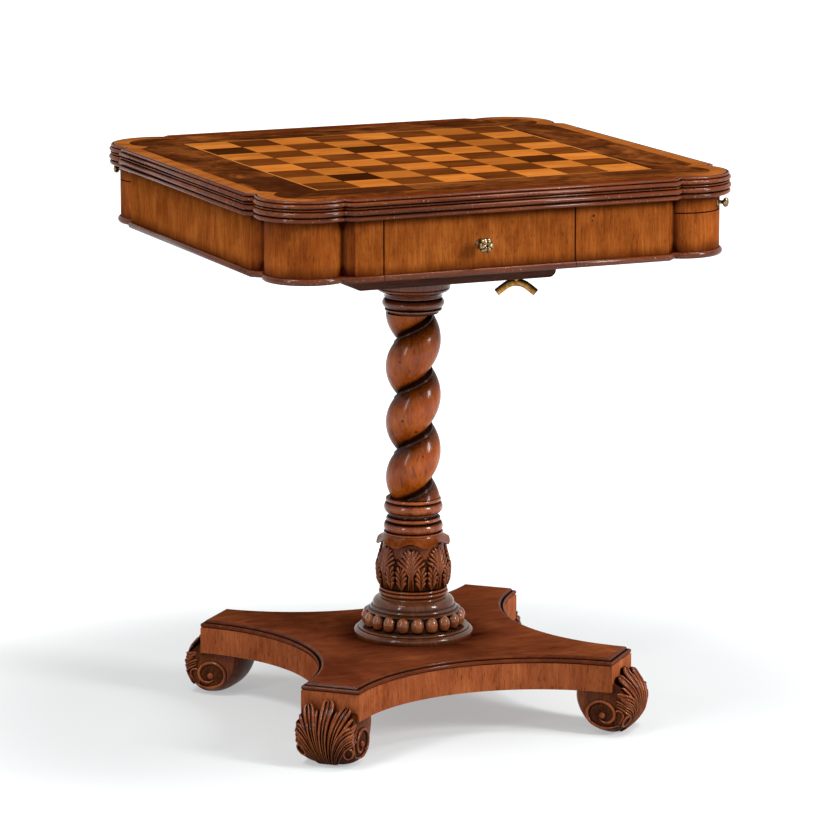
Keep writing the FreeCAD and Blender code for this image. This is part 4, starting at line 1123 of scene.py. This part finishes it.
# Strands of a lobe: a place across it and a half width, both as shares of the lobe's half width, a rise in
# millimetres and the least hollow of its colour
LOBE_STRANDS = ((0, 0.85, 0.8, 0.6), (0, 0.24, 3.0, 0.0), (0.72, 0.30, 4.0, 0.0), (-0.72, 0.30, 4.0, 0.0))
FOOT_FILLERS = (
    ((5, 3), (35, 6.4), (60, 10), (78, 12.6), (93, 14.5)),
    ((6, 6.4), (28, 10.6), (48, 17.5), (62, 26), (76, 33), (84, 37)),
    ((6, 9), (24, 14), (40, 22), (50, 29), (56, 39), (57, 50)),
)
# The volute's ridge, as degrees and millimetres about the eye
VOLUTE = ((-26, 26.0), (-50, 20.4), (-76, 17.4), (-105, 16.4), (-130, 17.2), (-160, 20.2), (-196, 22.2),
          (-222, 21.2), (-255, 19.6), (-290, 18.2), (-328, 18.0), (-352, 17.4), (-378, 15.4), (-413, 11.6),
          (-450, 8.2), (-490, 6.0))
# The dish inside the volute: the part of the ridge's turn that it fills, in degrees, and its rows, each a
# share of its radius, a lift in millimetres and a hollow
DISH_TURN = (-378, -40)
DISH_ROWS = ((1.0, -0.6, 0.9), (1.0, 0.2, 0.9), (0.75, 0.1, 0.68), (0.4, 0.1, 0.72), (0.1, 0.1, 0.75))
# A small hook between the volute and the leaf, as millimetres from the axis and up from the floor
HOOK = ((309.6, 18.0), (313.8, 25.0), (315.0, 31.0), (312.0, 35.2), (306.4, 35.8), (303.8, 32.6))
# A small oval on the leaf's front, by its middle's distances up and to the side
OVAL_UP = 30
OVAL_SIDE = 32.5
OVAL_HALF_HEIGHT = 9.5
OVAL_HALF_WIDTH = 5.6
OVAL_STEPS = 24
FRONT_LINE = flat_line(FOOT_FRONT)


def foot_front(distance):
    """The leaf's side outline at a distance in millimetres up from the floor."""
    for start, end in zip(FRONT_LINE, FRONT_LINE[1:]):
        length = (end - start).length
        if distance <= length:
            break
        distance -= length
    return start + (end - start) * (distance / length)


def foot_place(point, side):
    """A point of the side outline brought to a distance across the foot, drawn in about the arm's lower
    corner."""
    across = max(-FOOT_HALF, min(FOOT_HALF, side))
    share = 1 - FOOT_DRAW * (abs(across) / FOOT_HALF) ** 3.2 - (abs(side) - abs(across)) / 30
    x = FOOT_END + (point.x / MM_PER_METRE - FOOT_END) * share
    z = FOOT_TOP + (point.y / MM_PER_METRE - FOOT_TOP) * share
    return Vector((x, across / MM_PER_METRE, z))


def foot_spot(up, side):
    """The place at a distance up the foot's front and a distance to its side."""
    return foot_place(foot_front(up), side)


def foot_strand(bm, strand, root, floor=0.0):
    """A strand laid on the foot along rows of a spot, as distances up its front and to its side, a half width
    and a rise."""
    rows = []
    for spot, width, rise in strand:
        place = foot_spot(spot.x, spot.y)
        up = foot_spot(spot.x + 1.5, spot.y) - foot_spot(spot.x - 1.5, spot.y)
        over = foot_spot(spot.x, spot.y + 1.5) - foot_spot(spot.x, spot.y - 1.5)
        out = up.cross(over)
        inside = Vector((FOOT_END - 0.008, place.y * 0.6, 0.045))
        rows.append((place, out if out.dot(place - inside) > 0 else -out, width, rise))
    rod_along(bm, rows, root, floor)


def foot_lobe(bm, half, places, sign):
    """A sunk lobe with a thin rib and two raised edges, which run up together, part and meet again at its
    tip."""
    middle = flat_line([(up, side * sign) for up, side in places])
    last = len(middle) - 1
    for offset, width, rise, floor in LOBE_STRANDS:
        strand = []
        for index, spot in enumerate(middle):
            share = index / last
            ahead = (middle[min(index + 1, last)] - middle[max(index - 1, 0)]).normalized()
            spread = half * min(1.0, 0.26 + 0.74 * (share / 0.66) ** 1.3) * tip_fade(share, 0.7)
            lower = 1 - 0.3 * min(1.0, max(0.0, (abs(spot.y) - 26) / 12))
            height = rise * lower * min(1.0, 0.5 + 1.2 * share) * tip_fade(share, 0.9)
            strand.append((spot + Vector((-ahead.y, ahead.x)) * (spread * offset),
                           max(0.1, spread * width) / MM_PER_METRE, max(0.1, height) / MM_PER_METRE))
        foot_strand(bm, strand, STRAND_ROOT, floor)


def foot_filler(bm, places, sign):
    """A single strand between two lobes."""
    line = flat_line([(up, side * sign) for up, side in places])
    strand = []
    for index, spot in enumerate(line):
        share = index / (len(line) - 1)
        width = 2.9 * min(1.0, 0.35 + share) * tip_fade(share, 0.7)
        rise = 2.2 * min(1.0, 0.5 + share) * tip_fade(share, 0.85)
        strand.append((spot, max(0.1, width) / MM_PER_METRE, max(0.1, rise) / MM_PER_METRE))
    foot_strand(bm, strand, STRAND_ROOT)


def side_ridge(bm, path, side, width, rise):
    """A ridge on the flat side of the foot that grows from a thin start."""
    count = len(path) - 1
    plane = side * (FOOT_HALF - 0.2) / MM_PER_METRE
    rows = []
    for index, spot in enumerate(path):
        share = min(1.0, 0.3 + 4.0 * min(index, count - index + 2) / count)
        rows.append((Vector((spot.x, plane, spot.y)), Vector((0, side, 0)), width * share, rise * share))
    rod_along(bm, rows)


def volute(bm, side):
    """The spiral ridge with its dark dish and eye, a hook and a small oval, on one side of the foot."""
    def about_eye(angle, radius):
        turn = math.radians(angle)
        reach = radius / MM_PER_METRE
        return Vector((EYE.x + reach * math.cos(turn), EYE.z + reach * math.sin(turn)))

    spiral = flat_line(VOLUTE)
    side_ridge(bm, [about_eye(*spot) for spot in spiral], side, width=0.0025, rise=0.0034)
    rim = [spot for spot in spiral if DISH_TURN[0] < spot.x < DISH_TURN[1]]
    rings = []
    for share, lift, _ in DISH_ROWS:
        plane = side * (FOOT_HALF + lift) / MM_PER_METRE
        ring = [about_eye(spot.x, spot.y * share) for spot in rim]
        rings.append([Vector((spot.x, plane, spot.y)) for spot in ring])
    draw(bm, rings, hollows=[hollow for _, _, hollow in DISH_ROWS])
    centre = Matrix.Translation((EYE.x, side * FOOT_HALF / MM_PER_METRE, EYE.z))
    eye = centre @ Matrix.Diagonal((*EYE_HALF_SIZE, 1.0))
    bmesh.ops.create_uvsphere(bm, u_segments=20, v_segments=14, radius=1.0, matrix=eye)
    side_ridge(bm, [spot / MM_PER_METRE for spot in flat_line(HOOK)], side, width=0.0017, rise=0.0026)
    turns = [math.tau * step / OVAL_STEPS for step in range(OVAL_STEPS + 1)]
    oval = [Vector((OVAL_UP + OVAL_HALF_HEIGHT * math.cos(turn),
                    side * (OVAL_SIDE + OVAL_HALF_WIDTH * math.sin(turn)))) for turn in turns]
    foot_strand(bm, [(spot, 0.0016, 0.0028) for spot in oval], root=0.0006)


def foot_mesh():
    """The scroll's block with its leaf and volutes. Its ground is darker towards the leaf."""
    bm = bmesh.new()
    heel = flat_line(FOOT_HEEL, 4)
    front = flat_line(FOOT_FRONT[:8] + FOOT_GROUND, 4)[1:]
    outline = heel + front + [Vector((FOOT_END, FOOT_TOP)) * MM_PER_METRE]
    shares = [-share for share in reversed(FOOT_SECTION_SHARES)] + [0.0] + list(FOOT_SECTION_SHARES)
    depths = [0.42] * (len(heel) - 4) + [0.6] * 8
    depths += [0.72] * (len(outline) - len(depths))
    rings = [[foot_place(point, FOOT_HALF * share) for point in outline] for share in shares]
    draw(bm, rings, hollows=[depths] * len(shares))
    foot_lobe(bm, *FOOT_MIDDLE_LOBE, 1)
    for side in (1, -1):
        for half, places in FOOT_LOBES:
            foot_lobe(bm, half, places, side)
        for places in FOOT_FILLERS:
            foot_filler(bm, places, side)
        volute(bm, side)
    close_ends(bm)
    for vert in bm.verts:
        vert.co.z = max(vert.co.z, 0.0)
    return bm


def make_feet():
    pattern = foot_mesh()
    for corner, angle in (("back_right", 45), ("back_left", 135), ("front_left", 225), ("front_right", 315)):
        bm = pattern.copy()
        bmesh.ops.rotate(bm, verts=bm.verts, cent=(0, 0, 0), matrix=z_turn(angle))
        settle(bm, "carved_foot_" + corner, "table", "foot_mahogany", ["foot"], "scroll_foot_" + corner,
               sharp=55.0, merge=CARVED_MERGE)
    pattern.free()


# Brass and bearer

# A knob's profile, as shares of its radius and projection, with swells and hollows. Its foot is let in
KNOB_LET_IN = -0.004
KNOB_ROWS = (
    (0.62, 0.0, 0, 0.8), (0.66, 0.05, 0.2, 0.3), (0.5, 0.12, 0, 0.9), (0.36, 0.3, -0.1, 0.5),
    (0.40, 0.48, 0, 0.6), (0.78, 0.60, 0, 0.7), (1.0, 0.76, 0.12, 0.0), (0.86, 0.93, 0.1, 0.2),
    (0.70, 0.97, 0, 0.7), (0.45, 1.0, 0.05, 0.2), (0.16, 0.97, 0.05, 0.6), (0.1, 0.9, 0, 1), (0.0, 0.9, 0, 1),
)


def make_knob(name, body, node, size, place, outward):
    """A turned knob whose face is a flower of six petals round a centre hole."""
    bm = bmesh.new()
    radius, projection = size
    rows = [(0.0, KNOB_LET_IN, 0, 1), (0.35 * radius, KNOB_LET_IN, 0, 1)]
    rows += [(out * radius, up * projection, swell, hollow) for out, up, swell, hollow in KNOB_ROWS]
    spun(bm, arc_profile(rows, 5), KNOB_SPIN_STEPS)
    depth = hollow_layer(bm)
    for vert in bm.verts:
        on_face = vert.co.z / projection > 0.55
        if on_face and vert.co.xy.length / radius > 0.2:
            petal = abs(math.cos(3 * math.atan2(vert.co.y, vert.co.x))) ** 0.6
            vert.co.xy = vert.co.xy * (0.90 + 0.10 * petal)
            vert.co.z -= projection * 0.05 * (1 - petal)
            vert[depth] = max(vert[depth], 1 - petal ** 1.5)
    turn = outward.to_track_quat("Z", "Y").to_matrix().to_4x4()
    bmesh.ops.transform(bm, verts=bm.verts, matrix=Matrix.Translation(place) @ turn)
    settle(bm, name, body, "brass", ["knob"], node, sharp=60.0)


def make_knobs():
    low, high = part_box("front_drawer_face")
    across = (low.x + high.x) / 2
    rise = (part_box("front_drawer_bead")[0].z + UNDERSIDE_Z) / 2
    for side, sign in (("front", 1), ("back", -1)):
        make_knob(side + "_drawer_pull_knob", side + "_drawer", side + "_drawer_knob", DRAWER_KNOB,
                  Vector((across * sign, low.y * sign, rise)), Vector((0, -sign, 0)))
    low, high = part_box("front_right_slide_front")
    nose = LOBE_OUT + LOBE_RADIUS - APRON_INSET
    for corner, sign in (("front_right", 1), ("back_left", -1)):
        out = Vector((sign, -sign, 0)).normalized()
        make_knob(corner + "_pull_knob", corner + "_slide", corner + "_slide_knob", SLIDE_KNOB,
                  out * nose + Vector((0, 0, (low.z + high.z) / 2)), out)


def make_wing():
    """The bar bent over its stud, and the collar that it hangs from.

    Two straight arms droop from a rounded crown, with soft long edges, painted darker on top as a painted
    reflection of the table's dark underside.
    """
    bm = bmesh.new()
    low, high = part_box("wing_stud")
    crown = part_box("locking_wing")[1].z - WING_COLLAR_HEIGHT
    middle = Matrix.Translation(((low.x + high.x) / 2, (low.y + high.y) / 2, crown))
    turn = middle @ Matrix.Rotation(WING_TURN, 4, "Z")
    section = []
    for side in range(WING_SIDES):
        spin = math.tau * (side + 0.5) / WING_SIDES
        shares = (math.cos(spin), math.sin(spin))
        section.append([math.copysign(abs(share) ** WING_EDGE_POWER, share) for share in shares])
    rings = []
    last = WING_BEND_STEPS + WING_ARM_STEPS
    for step in range(-last, last + 1):
        angle = WING_SLOPE * min(1.0, max(-1.0, step / WING_BEND_STEPS))
        arm = math.copysign(max(0.0, abs(step) - WING_BEND_STEPS) / WING_ARM_STEPS * WING_ARM, step)
        up = Vector((math.sin(angle), 0.0, math.cos(angle)))
        along = Vector((math.cos(angle), 0.0, -math.sin(angle)))
        bend = WING_BEND_RADIUS - WING_THICKNESS / 2
        centre = Vector((0.0, 0.0, -WING_BEND_RADIUS)) + up * bend + along * arm
        ring = [centre + Vector((0, wide * WING_WIDTH / 2, 0)) + up * (thick * WING_THICKNESS / 2)
                for wide, thick in section]
        rings.append([turn @ point for point in ring])
    # The hollow layer here holds no hollows: it paints the top of the bar dark as a painted reflection
    draw(bm, rings, hollows=[[0.5 + 0.45 * thick for _, thick in section]] * len(rings))
    close_ends(bm)
    collar = middle @ Matrix.Translation((0, 0, (WING_COLLAR_HEIGHT - WING_COLLAR_ROOT) / 2))
    bmesh.ops.create_cone(bm, cap_ends=True, segments=WING_COLLAR_SIDES, radius1=WING_COLLAR_RADIUS,
                          radius2=WING_COLLAR_RADIUS, depth=WING_COLLAR_HEIGHT + WING_COLLAR_ROOT,
                          matrix=collar)
    settle(bm, "wing_handle", "wing", "brass", ["wing"], "locking_wing")


def round_edges(bm, edges, offset, segments):
    bmesh.ops.bevel(bm, geom=edges, offset=offset, offset_type="OFFSET", segments=segments, profile=0.5,
                    affect="EDGES", material=-1)


def make_bearer():
    """The block under the box, with rounded lower ends and softened arrises."""
    bm = bmesh.new()
    low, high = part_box("bearer_block")
    spot = Matrix.Translation((low + high) / 2) @ Matrix.Diagonal((*(high - low), 1.0))
    hollow_layer(bm)
    bmesh.ops.create_cube(bm, size=1.0, matrix=spot)
    ends = [edge for edge in bm.edges if all(abs(vert.co.z - low.z) < 1e-5 for vert in edge.verts)
            and abs(edge.verts[0].co.x - edge.verts[1].co.x) < 1e-5]
    round_edges(bm, ends, BEARER_END_RADIUS, segments=8)
    crisp = [edge for edge in bm.edges if edge.calc_face_angle(0) > math.radians(60)]
    round_edges(bm, crisp, BEARER_ARRIS, segments=2)
    settle(bm, "bearer_plank", "table", "bearer_wood", ["bearer"], "bearer_block")


# Finishes of the nodes that stay as they are

def dress(finish, *names):
    for name in names:
        thing = frame["nodes"][name]
        thing.data.materials.clear()
        thing.data.materials.append(finishes[finish])


def dress_nodes():
    dress("light", "light_squares")
    dress("dark", "dark_squares")
    dress("string", "board_stringing")
    dress("border", "walnut_border")
    slots = {row["node"]: row["material_slot"] for row in frame["record"]["subparts"]}
    for slot, finish in (("apron_veneer", "apron"), ("corner_veneer", "corner"), ("inner_oak", "oak"),
                         ("iron", "iron")):
        dress(finish, *(node for node, name in slots.items() if name == slot))
    dress("wing", "wing_stud")


# Floor, light and camera

FLOOR_HALF = 14.0
# Lamps: a place, the height of the point on the table's axis that it faces, its width, height and watts
LAMPS = {
    "high_left_softbox": ((-1.5, -0.5, 3.0), 0.4, 0.8, 1.0, 38.0),
    "high_right_softbox": ((1.2, -0.75, 3.0), 0.4, 0.8, 1.0, 47.0),
    "left_strip": ((-2.6, -1.2, 1.4), 0.4, 0.3, 1.4, 20.0),
    "right_softbox": ((2.2, -2.5, 2.0), 0.45, 0.7, 1.2, 92.0),
}


def make_floor():
    """A pale floor that keeps the table's shadow near it and is white further out."""
    bm = bmesh.new()
    bmesh.ops.create_grid(bm, x_segments=1, y_segments=1, size=FLOOR_HALF)
    mesh = bpy.data.meshes.new("floor")
    bm.to_mesh(mesh)
    bm.free()
    floor = show("floor", mesh)
    finish = Finish("pale_floor")
    finish.wear(Base_Color=(0.49, 0.515, 0.52, 1.0), Roughness=0.9, Specular_IOR_Level=0.0)
    out = finish.vector("LENGTH", finish.place(), out="Value")
    glow = finish.add("Emission", {}, {"Color": (1.0, 1.0, 1.0, 1.0),
                                       "Strength": finish.seen() * (out.eased(0.45, 1.2) * 0.8 + 0.39)})
    both = finish.add("AddShader", {}, {0: Shade(finish, finish.surface.outputs[0]), 1: glow})
    finish.join(finish.tree.nodes["Material Output"].inputs["Surface"], both)
    mesh.materials.append(finish.material)


def make_world():
    """White to the camera and in reflections, and a weaker fill light."""
    world = bpy.data.worlds.new("studio")
    bpy.context.scene.world = world
    world.use_nodes = True
    nodes = Nodes(world.node_tree)
    strength = nodes.add("MapRange", {}, {"Value": nodes.seen(), "To Min": 0.26, "To Max": 1.0})
    background = world.node_tree.nodes["Background"]
    nodes.join(background.inputs["Color"], (1.0, 1.0, 1.0, 1.0))
    nodes.join(background.inputs["Strength"], strength)


def make_lights():
    for name, (place, aim_height, width, height, watts) in LAMPS.items():
        lamp = bpy.data.lights.new(name, "AREA")
        lamp.shape = "RECTANGLE"
        lamp.size = width
        lamp.size_y = height
        lamp.energy = watts
        thing = show(name, lamp)
        thing.location = place
        aim = Vector((0, 0, aim_height)) - Vector(place)
        thing.rotation_euler = aim.to_track_quat("-Z", "Y").to_euler()


def make_camera():
    data = bpy.data.cameras.new("camera")
    data.lens = CAMERA_LENS
    data.sensor_width = CAMERA_SENSOR
    camera = show("camera", data)
    up = CAMERA_BACK.cross(CAMERA_RIGHT)
    turn = Matrix((CAMERA_RIGHT, up, CAMERA_BACK)).transposed()
    camera.matrix_world = Matrix.Translation(CAMERA_PLACE) @ turn.to_4x4()
    bpy.context.scene.camera = camera


make_reeded_top()
make_crossband()
make_base_bead()
make_drawer_bead("front", 0)
make_drawer_bead("back", 180)
make_cap()
make_twist()
make_neck()
make_vase()
make_collar()
make_beaded_base()
make_platform()
make_feet()
make_knobs()
make_wing()
make_bearer()
dress_nodes()
make_floor()
make_world()
make_lights()
make_camera()
bpy.context.scene.view_settings.view_transform = "Standard"
